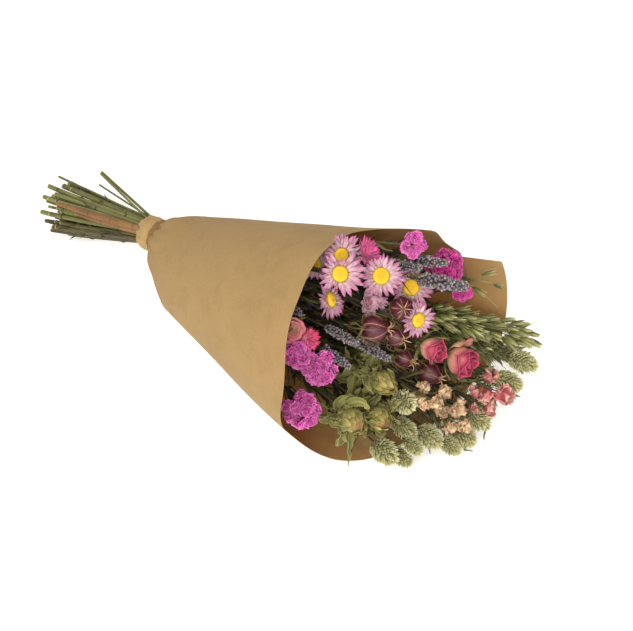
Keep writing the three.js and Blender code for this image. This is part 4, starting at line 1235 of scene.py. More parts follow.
# %% Statice funnel
STATICE_DEEP = petal_material("statice_deep", [
    (0.0, 150, 18, 100), (0.35, 182, 26, 122), (0.75, 204, 42, 146), (1.0, 222, 96, 178)],
    (160, 22, 108), roughness=0.6, dark=0.15, pale=0.2, veins=0.6)
STATICE = petal_material("statice_magenta", [
    (0.0, 182, 46, 138), (0.35, 190, 54, 146), (0.75, 204, 76, 164), (1.0, 224, 126, 196)],
    (166, 36, 126), roughness=0.6, dark=0.1, pale=0.28, veins=0.6)
HERB_GREEN = petal_material("herb_green", [
    (0.0, 84, 82, 42), (0.6, 104, 106, 56), (1.0, 132, 124, 74)], (70, 70, 36), roughness=0.65)


def funnel(across, along):
    angle = across * math.pi
    lobed = 1 + 0.26 * math.cos(5 * angle) * along
    radius = (0.3 + 2.3 * along) * lobed
    ruffle = 0.9 * math.cos(10 * angle + 1) * along ** 2
    return radius * math.cos(angle), radius * math.sin(angle), 2.7 * along + ruffle


FUNNEL = blade("funnel", 10, 2, funnel, 0.16, wrap=True)
print("statice:", STATICE.name, STATICE_DEEP.name, HERB_GREEN.name)

# %% Statice heads
FUNNELS = 17                # in each small crowd


def dome_way(number, count, reach):
    """The numbered one of evenly spread ways over a dome; reach 1 is half a ball."""
    polar = math.acos(1 - reach * (number + 0.5) / count)
    angle = number * GOLDEN
    return Vector((math.sin(polar) * math.cos(angle), math.sin(polar) * math.sin(angle), math.cos(polar)))


def make_statice(flower, head, radius, length, chance):
    middle = Vector((0, 0, length * 0.45))
    tufts = round(radius * length / 62) + 5
    small = min(1, radius / 15)
    florets, twigs = [], []
    for tuft in range(tufts):
        out = dome_way(tuft, tufts, 1.55)
        out.rotate(Matrix.Rotation(chance.between(-0.3, 0.3), 3, "Z"))
        reach = chance.between(0.45, 0.74) * (0.78 if radius < 14 else 1)
        centre = middle + Vector((out.x * radius, out.y * radius, out.z * length * 0.55)) * reach
        across = radius * chance.between(0.32, 0.44)
        lean = UPRIGHT.rotation_difference((out + UPRIGHT * 0.4).normalized())
        for number in range(FUNNELS):
            way = lean @ dome_way(number, FUNNELS, 1.25)
            way = (way + chance.vector(0.3)).normalized()
            root = centre + way * across * chance.between(0.45, 0.95) - way * 2.0
            size = Matrix.Scale(chance.between(0.8, 1.3) * small, 4)
            spot = head @ Matrix.Translation(root * MM) @ turned_to(way) @ size
            florets.append(put(FUNNEL, spot, chance.share()))
        knees = (UPRIGHT * -2, Vector((0, 0, length * 0.2)), middle * 0.6 + centre * 0.4, centre)
        path = rounded_path([head @ (point * MM) for point in knees], 2, 2)
        twigs.append(bend(TWIG, path, [0.9, 0.8, 0.6], chance.share()))
    name = flower["name"]
    finish = STATICE_DEEP if name in ("statice_5", "statice_6") else STATICE
    gather(f"{name}_florets", florets, [finish], name, "statice_magenta")
    gather(f"{name}_twigs", twigs, [HERB_GREEN], name, "statice_magenta")


plant("statice", make_statice, 92)

# %% [markdown]
# Lavender carries small woolly buds in whorls, one above the other, tight at the tip and
# looser below. The bud is a little ribbed barrel, and each whorl is a ring of them.

# %% Lavender buds and spikes
# the buds are darkest at their feet: painted shade in the gaps between them
LAVENDER = petal_material("lavender_grey", [
    (0.0, 60, 51, 50), (0.4, 92, 81, 98), (0.7, 120, 109, 130), (0.86, 192, 184, 172),
    (1.0, 128, 116, 128)], (56, 48, 58), roughness=0.9, dark=0.5, pale=0.45)
BUD = body("bud", 5, [(0, 0.3), (1.0, 0.92), (2.8, 1.02), (3.9, 0.85), (4.6, 0.4)])
WHORL_PITCH = 2.3           # mm


def make_lavender(flower, head, radius, length, chance):
    parts = []
    whorls = round(length / WHORL_PITCH)
    for row in range(whorls):
        share = row / (whorls - 1)
        swell = radius * (0.5 + 0.5 * math.sin(math.pi * min(1, share * 0.8 + 0.18)))
        height = (length - 4) * share
        buds = 10 if share < 0.85 else 7
        for number in range(buds):
            angle = (number + 0.5 * (row % 2)) / buds * math.tau + chance.between(-0.3, 0.3)
            out = outwards(angle)
            lean = chance.between(0.5, 1.15) * (1 - 0.6 * share ** 3)
            turn = turned_to(out * math.sin(lean) + UPRIGHT * math.cos(lean))
            root = out * swell * 0.3 + Vector((0, 0, height + chance.between(-1.0, 1.0)))
            size = Matrix.Scale(chance.between(0.7, 1.05) * radius / 5.6, 4)
            parts.append(put(BUD, head @ Matrix.Translation(root * MM) @ turn @ size, chance.share()))
    path = [head @ Vector((0, 0, height * MM)) for height in (-0.5, length * 0.5, length - 2)]
    parts.append(bend(TWIG, rounded_path(path, 2, 1), [0.9, 0.8, 0.5], 0.2))
    gather(f"{flower['name']}_spike", parts, [LAVENDER], flower["name"], "lavender_grey")


plant("lavender", make_lavender, 5)

# %% [markdown]
# A love-in-a-mist pod is a papery balloon in five joined chambers. Its seams are thin cream
# ribs, the skin between them is dark plum, five horns curl from its top, and a ruff of thread
# leaves stands round it. The balloon is grown ring by ring, and its seams are then drawn in.

# %% Pod material and shape
POD_SEAMS = 5


def pod_material():
    material, tree, shader, facts = start_material("pod_burgundy", blotch=120.0)
    wave = maths(tree, "SINE", maths(tree, "MULTIPLY", facts["across"], math.pi * POD_SEAMS))
    seam = maths(tree, "ABSOLUTE", wave)
    skin = blend_colours(tree, facts["blotch"], colour(52, 10, 24), colour(90, 25, 42))
    near = ramp(tree, seam, [(0.1, colour(150, 84, 84)), (0.55, (0, 0, 0, 1))])
    flushed = blend_colours(tree, 0.25, skin, near, "SCREEN")
    ends = ramp(tree, facts["along"], [(0.0, colour(136, 120, 78)), (0.16, (1, 1, 1, 1)),
                                       (0.86, (1, 1, 1, 1)), (1.0, colour(200, 160, 120))])
    ended = blend_colours(tree, 0.9, flushed, ends, "MULTIPLY")
    line = ramp(tree, seam, [(0.03, (0.9, 0.9, 0.9, 1)), (0.07, (0.35, 0.35, 0.35, 1)),
                             (0.14, (0, 0, 0, 1))])
    lined = blend_colours(tree, line, ended, colour(190, 146, 118))
    feed_all(tree, shader, Base_Color=lined, Roughness=0.5)
    bump(tree, shader, line, 0.6, 0.0005)
    return material


POD = pod_material()
THREAD_BROWN = petal_material("thread_brown", [
    (0.0, 112, 104, 62), (0.6, 128, 108, 70), (1.0, 118, 86, 64)], (80, 62, 42), roughness=0.7)
HORN = petal_material("horn", [
    (0.0, 176, 132, 100), (0.6, 186, 146, 112), (1.0, 150, 96, 82)], (140, 96, 76), roughness=0.6)

balloon = grow("balloon", 40, [(-0.2, 1.0), (0.4, 3.0), (1.8, 5.8), (4.4, 8.7), (7.6, 10.0), (11.0, 9.8),
                               (14.2, 8.2), (16.8, 5.7), (18.6, 3.1), (19.6, 1.2)])
for vertex in balloon.data.vertices:
    x, y, z = vertex.co / MM
    # the chambers meet in valleys a little in from the swell, and there the seams lie
    swell = 0.9 + 0.1 * abs(math.sin(math.atan2(y, x) * POD_SEAMS / 2))
    vertex.co = Vector((x * swell, y * swell, z)) * MM
BALLOON = take_pattern(balloon, round_uv(-0.2, 19.6))
print("pods:", POD.name, THREAD_BROWN.name, HORN.name)

# %% Pods with their horns and thread leaves
THREAD_LEAVES = 15
FORKS = 3                   # the ends of each of them


def curl(head, points, radii, tint, finish=0):
    """A thread through points in the head's own mm."""
    path = rounded_path([head @ (Vector(point) * MM) for point in points], 1.5, 2)
    return bend(THREAD, path, radii, tint, finish)


def make_nigella(flower, head, radius, length, chance):
    pod = put(BALLOON, head @ Matrix.Diagonal((radius / 9.6, radius / 9.6, length / 19.6, 1)), 0.4)
    threads = []
    for number in range(POD_SEAMS):
        angle = (number + 0.5) / POD_SEAMS * math.tau
        c, s = math.cos(angle), math.sin(angle)
        hook = chance.between(6.5, 9)
        points = [(1.0 * c, 1.0 * s, length - 1), (2.0 * c, 2.0 * s, length + 2.4),
                  (hook * 0.7 * c, hook * 0.7 * s, length + 4.6), (hook * c, hook * s, length + 2.6)]
        threads.append(curl(head, points, [0.9, 0.65, 0.45, 0.15], chance.share(), 1))
    for _ in range(THREAD_LEAVES):
        angle = chance.between(0, math.tau)
        rise = chance.between(0.4, 1.2) * length
        out = radius * chance.between(1.05, 1.6)
        swing = angle + chance.between(-0.9, 0.9)
        fork = (out * 0.9 * math.cos(angle), out * 0.9 * math.sin(angle), 1.5)
        c, s = math.cos(swing), math.sin(swing)
        for _ in range(FORKS):
            lift = rise * chance.between(0.6, 1.1)
            points = [(0, 0, -1), fork, (out * c, out * s, lift * 0.6),
                      (out * 0.8 * math.cos(swing + chance.between(-0.8, 0.8)), out * 0.8 * s, lift)]
            threads.append(curl(head, points, [0.42, 0.36, 0.28, 0.08], chance.share()))
    name = flower["name"]
    gather(f"{name}_pod", [pod], [POD], name, "pod_burgundy")
    gather(f"{name}_threads", threads, [THREAD_BROWN, HORN], name, "pod_burgundy")


plant("nigella", make_nigella, 41)

# %% [markdown]
# A dried rose is a bud that has hardly opened: petals wound tightly in the middle, looser
# ones round them that swell and close again, and their rims rolled back and darker. Cupped
# petals of one kind are enough, turned, scaled and set one round the other.

# %% Rose petals
ROSE_PINK = petal_material("rose_pink", [
    (0.0, 160, 150, 80), (0.25, 220, 196, 138), (0.5, 222, 164, 142), (0.7, 206, 100, 118),
    (0.9, 170, 30, 76), (1.0, 216, 92, 130)], (170, 52, 78), roughness=0.62, dark=0.4, veins=0.7)
ROSE_CREAM = petal_material("rose_cream", [
    (0.0, 178, 160, 88), (0.3, 228, 200, 140), (0.75, 226, 172, 146), (0.93, 214, 120, 118),
    (1.0, 196, 70, 92)], (206, 130, 116), dark=0.3, veins=0.5)
ROSE_PEACH = petal_material("rose_peach", [
    (0.0, 206, 190, 140), (0.4, 236, 206, 180), (0.75, 230, 168, 164), (1.0, 214, 112, 130)],
    (200, 128, 120), dark=0.25)

# How far out a petal lies, in mm, at shares of its height
ROSE_PROFILE = ((0, 0.12, 0.3, 0.5, 0.72, 0.9, 1), (2.2, 5.6, 8.8, 10, 9.5, 8.3, 7.8))


def cupped_petal(span, flare):
    """A petal round the bud: span is half its reach in radians, flare how far its rim rolls out."""
    def rule(across, along):
        angle = across * span
        radius = float(np.interp(along, *ROSE_PROFILE))
        rolled = max(0.0, along - 0.72) / 0.28
        radius += flare * rolled ** 1.5 + (0.6 + 0.35 * flare) * abs(across) ** 4 * along
        radius += 0.35 * math.sin(6 * across + along * 6) * along
        height = 22 * along * (1 - 0.2 * across ** 2) - flare * 0.3 * rolled ** 3
        height += 0.6 * math.sin(5 * across + 2) * along ** 2
        return radius * math.cos(angle), radius * math.sin(angle), height
    return rule


ROSE_TIGHT = blade("tight_petal", 10, 8, cupped_petal(1.35, 1.1), 0.3)
ROSE_OPEN = blade("open_petal", 12, 11, cupped_petal(1.0, 4.0), 0.3)
print("roses:", ROSE_PINK.name, ROSE_CREAM.name, ROSE_PEACH.name)

# %% Leaves, flat and curled
LEAF_LENGTH = 20            # of each leaf as it is modelled, mm


def stiff_leaf(half_width, droop):
    """A pointed leaf that droops by so many mm at its tip, or rises if that is below 0."""
    def rule(across, along):
        half = half_width * math.sin(math.pi * (0.06 + 0.94 * along) ** 0.75) ** 0.9
        half = max(half, 0.12)
        ridge = 0.22 * half * across ** 2 + 0.12 * math.sin(along * 30) * across ** 2
        return across * half, along * LEAF_LENGTH, ridge - droop * along ** 2 + 0.5 * math.sin(along * 7)
    return rule


def curling_leaf(half_width, bow, twist, cup):
    """A broad leaf that curls over by the angle bow and twists by the angle twist."""
    def rule(across, along):
        half = half_width * math.sin(math.pi * (0.07 + 0.91 * along) ** 0.8) ** 0.75
        half *= 1 + 0.16 * math.cos(along * 44) * abs(across) ** 3
        lift = cup * half * across ** 2 + 0.7 * math.sin(along * 21 + across * 2) * across ** 2
        roll, turned = twist * along, bow * along
        side = across * half * math.cos(roll) - lift * math.sin(roll)
        face = across * half * math.sin(roll) + lift * math.cos(roll)
        reach = LEAF_LENGTH * math.sin(turned) / bow - face * math.sin(turned)
        return side, reach, LEAF_LENGTH * (1 - math.cos(turned)) / bow + face * math.cos(turned)
    return rule


LEAF = blade("leaf", 4, 12, curling_leaf(2.9, 1.3, 1.3, 0.45), 0.3)
CURLED_LEAF = blade("curled_leaf", 4, 13, curling_leaf(3.0, 3.8, 1.5, 0.5), 0.3)
ROLLED_LEAF = blade("rolled_leaf", 4, 13, curling_leaf(2.8, -3.2, -2.3, 0.6), 0.3)
HANGING_LEAF = blade("hanging_leaf", 6, 20, curling_leaf(2.6, 0.5, 1.6, 0.5), 0.3)
LEAVES = (LEAF, CURLED_LEAF, ROLLED_LEAF)
SEPAL = blade("sepal", 4, 8, stiff_leaf(2.6, -11.0), 0.3)
LEAF_GREEN = petal_material("leaf_green", [
    (0.0, 118, 112, 54), (0.5, 122, 122, 62), (1.0, 166, 156, 92)], (86, 86, 40), roughness=0.7,
    dark=0.4, pale=0.28, ribbed=True)
print("leaves of different curl:", len(LEAVES))

# %% Roses
# Layers: petals, radius and height as shares, and whether they are open
ROSE_LAYERS = [(2, 0.16, 0.9, False), (2, 0.3, 0.95, False), (3, 0.44, 0.99, False),
               (3, 0.6, 1.0, False), (3, 0.78, 0.96, False), (3, 0.96, 0.84, True)]
LARGE_ROSE_LAYERS = ROSE_LAYERS[:4] + [(3, 0.78, 0.96, True)] + ROSE_LAYERS[5:]
PEACH_LAYERS = [(3, 0.3, 0.7, True), (4, 0.5, 0.85, True), (5, 0.66, 0.95, True), (6, 0.85, 0.85, True)]
LARGE = 12                  # roses with a larger radius are the large ones, mm
SEPALS = 5


def lone_petal(head, chance):
    """The outermost petal that has let go of the bud and stands off towards the upper side."""
    upper = head.to_3x3().inverted() @ direction(-0.374, 0.632, 0.677)
    turn = Matrix.Rotation(math.atan2(upper.y, upper.x), 4, "Z")
    lean = Matrix.Rotation(0.42, 4, "Y")
    scale = Matrix.Diagonal((1.15, 1.0, 1.08, 1))
    return put(ROSE_OPEN, head @ turn @ lean @ scale, chance.between(0.8, 1), 1)


def make_rose(flower, head, radius, length, chance):
    name = flower["name"]
    peach = name == "rose_3"
    layers = PEACH_LAYERS if peach else LARGE_ROSE_LAYERS if radius > LARGE else ROSE_LAYERS
    petals, greens = [], []
    for count, wide, tall, is_open in layers:
        for number in range(count):
            spin = (number + chance.between(-0.15, 0.15)) / count * math.tau + wide * 5
            turn = Matrix.Rotation(spin, 4, "Z")
            lean = Matrix.Rotation(chance.between(-0.03, 0.07) * (6 if peach else 1), 4, "Y")
            size = wide * radius / (11.4 if is_open else 10.2) * chance.between(0.96, 1.04)
            size *= 0.86 if peach else 1
            scale = Matrix.Diagonal((size, size, length / 23 * tall * chance.between(0.96, 1.03), 1))
            petals.append(put(ROSE_OPEN if is_open else ROSE_TIGHT, head @ turn @ lean @ scale,
                              chance.share()))
    if radius > LARGE:
        petals.append(lone_petal(head, chance))
    for number in range(SEPALS):
        out = outwards((number + chance.between(-0.15, 0.15)) / SEPALS * math.tau)
        lift = chance.between(-0.1, 0.3)
        spot = leaf_frame((out * 2 - UPRIGHT) * MM, out + UPRIGHT * lift, UPRIGHT - out * lift, radius / 13)
        greens.append(put(SEPAL, head @ spot, chance.share()))
    greens.append(put(CUP, head @ Matrix.Diagonal((radius / 15, radius / 15, 0.75, 1)), 0.4))
    slot = "rose_peach" if peach else "rose_pink"
    gather(f"{name}_petals", petals, [ROSE_PEACH if peach else ROSE_PINK, ROSE_CREAM], name, slot)
    gather(f"{name}_sepals", greens, [LEAF_GREEN], name, slot)


plant("rose", make_rose, 12)

# %% [markdown]
# Safflower heads are green bulbs of pressed scales inside a ruff of stiff, spine-edged
# leaves. The leaves have dried into curls. So three leaves are modelled, one nearly flat, one
# curled and one rolled the other way, and each copy looks another way than its neighbour. One
# longer leaf hangs down over the paper's rim.

# %% Safflower
SAFFLOWER = petal_material("safflower_green", [
    (0.0, 112, 110, 52), (0.4, 152, 146, 74), (0.82, 204, 184, 112), (1.0, 146, 104, 56)],
    (104, 106, 48), roughness=0.6, dark=0.3)
BULB = body("bulb", 24, [(-0.4, 2.0), (2.0, 6.4), (6.0, 9.6), (11.0, 10.0), (16.0, 8.0), (20.0, 5.0),
                         (22.5, 2.6)])
SCALE = blade("scale", 4, 6, stiff_leaf(4.4, 3.2), 0.3)
BULB_SCALES, RUFF_LEAVES, STEM_LEAVES = 20, 38, 34
INSIDE = 3                  # leaves stay this far inside the paper, and above the floor, mm
NEAR_SIDE = direction(0.532, -0.451, 0.716)         # where the flowers look, out of the paper


def depth_in_cone(point):
    """How far a point lies inside the paper, in mm; below 0 it is through it."""
    reach = point - NECK
    along, side, up = (reach.dot(way) / MM for way in (ALONG, SIDE, UP))
    return paper_radius(along) - math.hypot(side, up - paper_middle(along))


def stem_leaves(head, chance):
    """The broad leaves on the stem below a head, curled every way but through the paper."""
    leaves = []
    for number in range(STEM_LEAVES):
        out = outwards(chance.between(0, math.tau))
        root = head @ ((out * 1.5 + Vector((0, 0, chance.between(-40, -2)))) * MM)
        way = head.to_3x3() @ (out + Vector((0, 0, chance.between(0.2, 1.3)))).normalized()
        size = chance.between(0.9, 1.6)
        if depth_in_cone(root + way * 21 * size * MM) > INSIDE:
            normal = head.to_3x3() @ chance.vector(1)
            leaves.append(put(LEAVES[number % 3], leaf_frame(root, way, normal, size), chance.share()))
    return leaves


def hanging_leaf(flower):
    """One long leaf of the foremost head hangs down in front of the paper's rim."""
    root = flower["base"] + NEAR_SIDE * 6 * MM
    spot = leaf_frame(root, direction(0.45, -0.72, -0.53), NEAR_SIDE, 2.15, 1.5)
    return put(HANGING_LEAF, spot, 0.4)


def make_safflower(flower, head, radius, length, chance):
    wide = radius * 0.7
    bulbs = [put(BULB, head @ Matrix.Diagonal((wide / 10, wide / 10, length / 24, 1)), 0.4)]
    for number in range(BULB_SCALES):
        share = number / BULB_SCALES
        out = outwards(number * GOLDEN)
        height = length * (0.04 + 0.66 * share)
        root = out * wide * (0.62 + 0.3 * math.sin(math.pi * share)) + UPRIGHT * height
        lean = out * (0.45 - 0.75 * share) + UPRIGHT
        size = 0.68 * chance.between(0.8, 1.15)
        bulbs.append(put(SCALE, head @ leaf_frame(root * MM, lean, out, size), chance.share()))
    leaves = []
    for number in range(RUFF_LEAVES):
        out = outwards(number * GOLDEN + chance.between(-0.4, 0.4))
        open_way = chance.between(0.3, 1.75)
        forward = out * math.sin(open_way) + UPRIGHT * math.cos(open_way)
        normal = (out * -0.6 + UPRIGHT * 0.4 + chance.vector(0.7)).normalized()
        root = out * wide * 0.4 + Vector((0, 0, chance.between(-12, 7)))
        size = chance.between(0.75, 1.3) * radius / 13
        spot = leaf_frame(root * MM, forward, normal, size)
        leaves.append(put(LEAVES[number % 3], head @ spot, chance.share()))
    leaves += stem_leaves(head, chance)
    name = flower["name"]
    if name == "safflower_1":
        leaves.append(hanging_leaf(flower))
    gather(f"{name}_bulb", bulbs, [SAFFLOWER], name, "safflower_green")
    gather(f"{name}_ruff", leaves, [LEAF_GREEN], name, "safflower_green")


plant("safflower", make_safflower, 8)

# %% [markdown]
# Canary grass ends in an egg of folded scales, each with a green keel and pale papery edges.
# The scales sit in the same spiral as the seeds of a cone, and stand off so far that the egg
# looks bristly.

# %% Canary grass
# the glumes are darkest at their roots: painted shade deep between them
GRASS = petal_material("grass_green", [
    (0.0, 92, 90, 48), (0.3, 158, 156, 102), (0.65, 206, 202, 150), (1.0, 238, 232, 194)],
    (158, 158, 102), roughness=0.65, pale=0.2, veins=0.6)


def keeled_scale(across, along):
    half = max(0.06, 1.0 * math.sin(math.pi * (0.05 + 0.95 * along) ** 0.8) ** 0.7)
    keel = 0.8 * (1 - abs(across)) * math.sin(math.pi * min(1, along * 0.9 + 0.1))
    return across * half, along * 5.6, keel + 0.4 * along ** 2


GLUME = blade("glume", 2, 3, keeled_scale, 0.2)
# the egg inside takes the glumes' darkest green: painted shade between the glumes
EGG = take_pattern(grow("egg", 12, [(0, 1.5), (2, 4), (8, 5.6), (14, 4.6), (17.6, 2), (18.4, 0.6)]),
                   round_uv(0, 90))         # so high that the egg has the glume's darkest green
GLUMES = 216


def make_phalaris(flower, head, radius, length, chance):
    parts = [put(EGG, head @ Matrix.Diagonal((radius / 8.4, radius / 8.4, length / 23, 1)), 0.1)]
    for number in range(GLUMES):
        share = (number + 0.5) / GLUMES
        out = outwards(number * GOLDEN)
        swell = math.sin(math.pi * (0.1 + 0.86 * share)) ** 0.6
        root = out * radius * 0.68 * swell + Vector((0, 0, (length - 5) * share))
        lean = out * (1.5 * (1 - share) + 0.5) + UPRIGHT
        lean += chance.vector(0.3)
        size = chance.between(0.8, 1.12) * radius / 9
        parts.append(put(GLUME, head @ leaf_frame(root * MM, lean, -out, size), chance.share()))
    gather(f"{flower['name']}_head", parts, [GRASS], "phalaris_bunch", "grass_green")


plant("phalaris", make_phalaris, 19)

# %% [markdown]
# An oat panicle hangs its spikelets on hair-thin stalks, and in a tied bunch all of them sweep
# forwards. A spikelet is two long ribbed husks that open like a beak round the grain.

# %% Oats
OAT = petal_material("oat_green", [
    (0.0, 88, 90, 44), (0.5, 130, 134, 76), (0.85, 170, 168, 110), (1.0, 202, 194, 142)],
    (80, 86, 40), roughness=0.5, dark=0.35, pale=0.3)


def long_husk(across, along):
    half = max(0.08, 2.7 * math.sin(math.pi * (0.03 + 0.97 * along) ** 0.66) ** 0.9)
    hollow = 1.6 * (1 - across ** 2) * math.sin(math.pi * along) ** 0.7
    return across * half, along * 16, hollow


HUSK = blade("husk", 4, 7, long_husk, 0.25)
GRAIN = body("grain", 6, [(0, 0.3), (4, 1.4), (9, 1.3), (15, 0.3)])
print("oats:", OAT.name)

# %% Oat panicles
SPIKELETS, FEW_SPIKELETS = 20, 3
YOUNG = 8                   # a panicle with a smaller radius is young and has few, mm


def make_spikelet(head, knee, forward, size, chance):
    parts = []
    narrow = size * chance.between(0.7, 1.1)
    side = forward.cross(Vector((chance.between(-1, 1), chance.between(-1, 1), 0.3))).normalized()
    for sign in (1, -1):
        opened = (forward + side * sign * chance.between(0.05, 0.2)).normalized()
        start = knee + side * sign * 0.25
        spot = leaf_frame(start * MM, opened, side * sign, size, narrow)
        parts.append(put(HUSK, head @ spot, chance.share()))
    inner = Matrix.Translation(knee * MM) @ turned_to(forward) @ Matrix.Scale(size, 4)
    return parts + [put(GRAIN, head @ inner, chance.share())]


def make_oat(flower, head, radius, length, chance):
    heights = (-1, length * 0.3, length * 0.62)
    path = rounded_path([head @ (UPRIGHT * height * MM) for height in heights], 2, 1)
    parts = [bend(TWIG, path, [1.1, 0.8, 0.4], 0.4)]
    count = FEW_SPIKELETS if radius < YOUNG else SPIKELETS
    for number in range(count):
        share = number / (count - 1)
        out = outwards(number * GOLDEN + chance.between(-0.4, 0.4))
        root = Vector((0, 0, length * (0.02 + 0.56 * share)))
        knee = root + out * radius * (0.9 - 0.5 * share) * chance.between(0.7, 1.15)
        knee += Vector((0, 0, chance.between(-4, 5)))
        forward = (out * chance.between(0.0, 0.6) + UPRIGHT).normalized()
        size = chance.between(0.7, 1.05)
        parts += make_spikelet(head, knee, forward, size, chance)
        stalk = [root, (root + knee) / 2 + UPRIGHT * 2, knee]
        parts.append(curl(head, stalk, [0.35, 0.25, 0.3], chance.share()))
        if number % 2 == 0:
            bristle = [knee, knee + forward * 14, knee + forward * 27 + out * 3]
            parts.append(curl(head, bristle, [0.24, 0.18, 0.06], chance.share()))
    gather(f"{flower['name']}_panicle", parts, [OAT], "oat_bunch", "oat_green")


plant("oat", make_oat, 27)

# %% [markdown]
# Larkspur dries into crumpled scraps of petal on a thin spike. Four scraps with different
# folds are enough, since no two lie the same way.

# %% Larkspur
# both are darkest and brownest at the root, in the heart of each floret: painted shade in its folds
LARKSPUR_PINK = petal_material("larkspur_pink", [
    (0.0, 160, 104, 78), (0.35, 206, 100, 110), (0.85, 224, 146, 142), (1.0, 242, 206, 186)],
    (170, 58, 78), dark=0.35, pale=0.2)
LARKSPUR_CREAM = petal_material("larkspur_cream", [
    (0.0, 128, 90, 56), (0.35, 206, 168, 122), (0.82, 236, 216, 172), (1.0, 214, 162, 136)],
    (172, 118, 88), dark=0.35, pale=0.2)


def crumpled(phase):
    def rule(across, along):
        half = 4.3 * math.sin(math.pi * (0.12 + 0.8 * along)) ** 0.7
        fold = 1.3 * math.sin(across * 5 + along * 7 + phase) * along
        curl_in = 2.2 * across ** 2 * along + 1.4 * math.sin(along * 6 + phase * 2)
        ragged = 0.7 * math.sin(across * 9 + phase * 3) * along ** 3
        return across * half + 0.7 * math.sin(along * 9 + phase), along * 8.5 + ragged, fold + curl_in
    return rule


SCRAPS = [blade(f"scrap_{number}", 7, 6, crumpled(number * 1.9), 0.22) for number in range(4)]
FLORETS, FLORET_SCRAPS = 5, 8
print("larkspur:", LARKSPUR_PINK.name, LARKSPUR_CREAM.name)

# %% Larkspur spikes
def make_larkspur(flower, head, radius, length, chance):
    slot, name = flower["bunch"], flower["name"]
    cream = slot == "larkspur_cream"
    scraps, greens = [], []
    for number in range(FLORETS):
        share = number / (FLORETS - 1)
        angle = number * GOLDEN
        lift = 0.1 + 1.1 * share
        out = Vector((math.cos(angle) * math.cos(lift), math.sin(angle) * math.cos(lift), math.sin(lift)))
        root = Vector((0, 0, length * (0.04 + 0.74 * share)))
        middle = root + out * radius * 0.4
        for petal in range(FLORET_SCRAPS):
            spin = petal / FLORET_SCRAPS * math.tau + chance.between(-0.5, 0.5)
            side = out.orthogonal().normalized()
            side.rotate(Matrix.Rotation(spin, 3, out))
            forward = out * chance.between(0.3, 2.2) + side
            size = chance.between(0.66, 1.04) * radius / (9.5 if cream else 8)
            spot = leaf_frame(middle * MM, forward, out - side * 0.3, size)
            scraps.append(put(SCRAPS[(number + petal) % 4], head @ spot, chance.share()))
        joint = [root, root + out * radius * 0.2, middle]
        greens.append(curl(head, joint, [0.5, 0.4, 0.5], chance.share()))
    stalk = [(0, 0, -1), (0, 0, length * 0.5), (0, 0, length * 0.9)]
    greens.append(curl(head, stalk, [1.2, 0.9, 0.4], 0.4))
    gather(f"{name}_florets", scraps, [LARKSPUR_CREAM if cream else LARKSPUR_PINK], BUNCH_NODES[slot], slot)
    gather(f"{name}_spike", greens, [HERB_GREEN], BUNCH_NODES[slot], slot)


plant("larkspur", make_larkspur, 63)

# %% [markdown]
# Behind the heads a dried bunch is never empty. Each stem keeps the narrow, withered leaves and
# the bare side twigs of its upper half, and these close the cone with a tangle painted nearly
# black: painted shade deep in the cone, apart from a share of hay-pale leaves. They are copies
# of one thin leaf and one twig, set along the stems by chance, and a copy that would stick
# through the paper or below the floor is turned inwards or left out.

# %% Withered leaves and side twigs
def withered(across, along):
    half = max(0.1, 1.0 * math.sin(math.pi * (0.08 + 0.92 * along) ** 0.8))
    wave = 0.5 * half * across ** 2 + 2.2 * math.sin(along * 5.5) * along
    return across * half + 1.3 * math.sin(along * 4), along * LEAF_LENGTH, wave


WITHERED = blade("withered_leaf", 2, 4, withered, 0.25)
# near-black withered leaves and twigs: painted shade deep inside the cone
SHADED_UNDERGROWTH = petal_material("undergrowth", [
    (0.0, 34, 29, 14), (0.5, 50, 46, 22), (1.0, 74, 62, 34)], (28, 25, 12), roughness=0.85,
    sheen=0.0, dark=0.5, pale=0.3)
HAY = petal_material("hay", [
    (0.0, 70, 68, 32), (0.5, 100, 102, 50), (1.0, 144, 136, 82)], (60, 62, 28), roughness=0.7,
    dark=0.4, pale=0.25)
print("tangle:", SHADED_UNDERGROWTH.name, HAY.name)

# %% The tangle along the stems
TWIGS = 7                   # on each stem
LEAVES_ON_STEM, PALE_SHARE = 24, 0.15
GRASS_LEAVES, GRASS_PALE_SHARE = 36, 0.55
GRASSY = ("phalaris", "oat", "larkspur_cream", "larkspur_pink")
TRIES = 4                   # ways tried before a leaf is left out


def way_inside(root, stem_way, size, chance):
    """A way for a leaf of that size that stays inside the paper and above the floor, or None."""
    for _ in range(TRIES):
        swing = chance.vector(1)
        forward = (stem_way + (swing - stem_way * swing.dot(stem_way)) * 0.75).normalized()
        depth = depth_in_cone(root + forward * LEAF_LENGTH * size * MM)
        if depth > INSIDE and (root + forward * 22 * size * MM).z > INSIDE * MM:
            return forward
    return None


def spread_leaves(flower, chance, leaves, pale_share):
    """Withered leaves and twigs for one stem; the pale share of the leaves are like hay."""
    path = rounded_path(flower["path"], 3.0, 2)
    reach = path @ np.array(ALONG) - NECK.dot(ALONG)
    inside = path[reach > 90 * MM]
    parts = []
    for number in range(leaves + TWIGS):
        place_on_stem = int(chance.between(0.1, 0.97) * (len(inside) - 2))
        root = Vector(inside[place_on_stem])
        left = (Vector(inside[-1]) - root).length / MM
        stem_way = (Vector(inside[place_on_stem + 1]) - root).normalized()
        size = chance.between(0.6 if number < leaves else 0.8, 1.5)
        size = min(size, max(0.25, (left + 7) / LEAF_LENGTH))
        forward = way_inside(root, stem_way, size, chance)
        if forward is None:
            continue
        normal = chance.vector(1)
        if number < leaves:
            spot = leaf_frame(root, forward, normal, size, size * chance.between(0.9, 2.2))
            parts.append(put(WITHERED, spot, chance.share(), int(chance.share() < pale_share)))
        else:
            middle = root + forward * 10 * size * MM + normal.normalized() * 1.5 * MM
            line = rounded_path([root, middle, root + forward * LEAF_LENGTH * size * MM], 2, 1)
            parts.append(bend(THREAD, line, [0.55, 0.45, 0.2], chance.share()))
    return parts


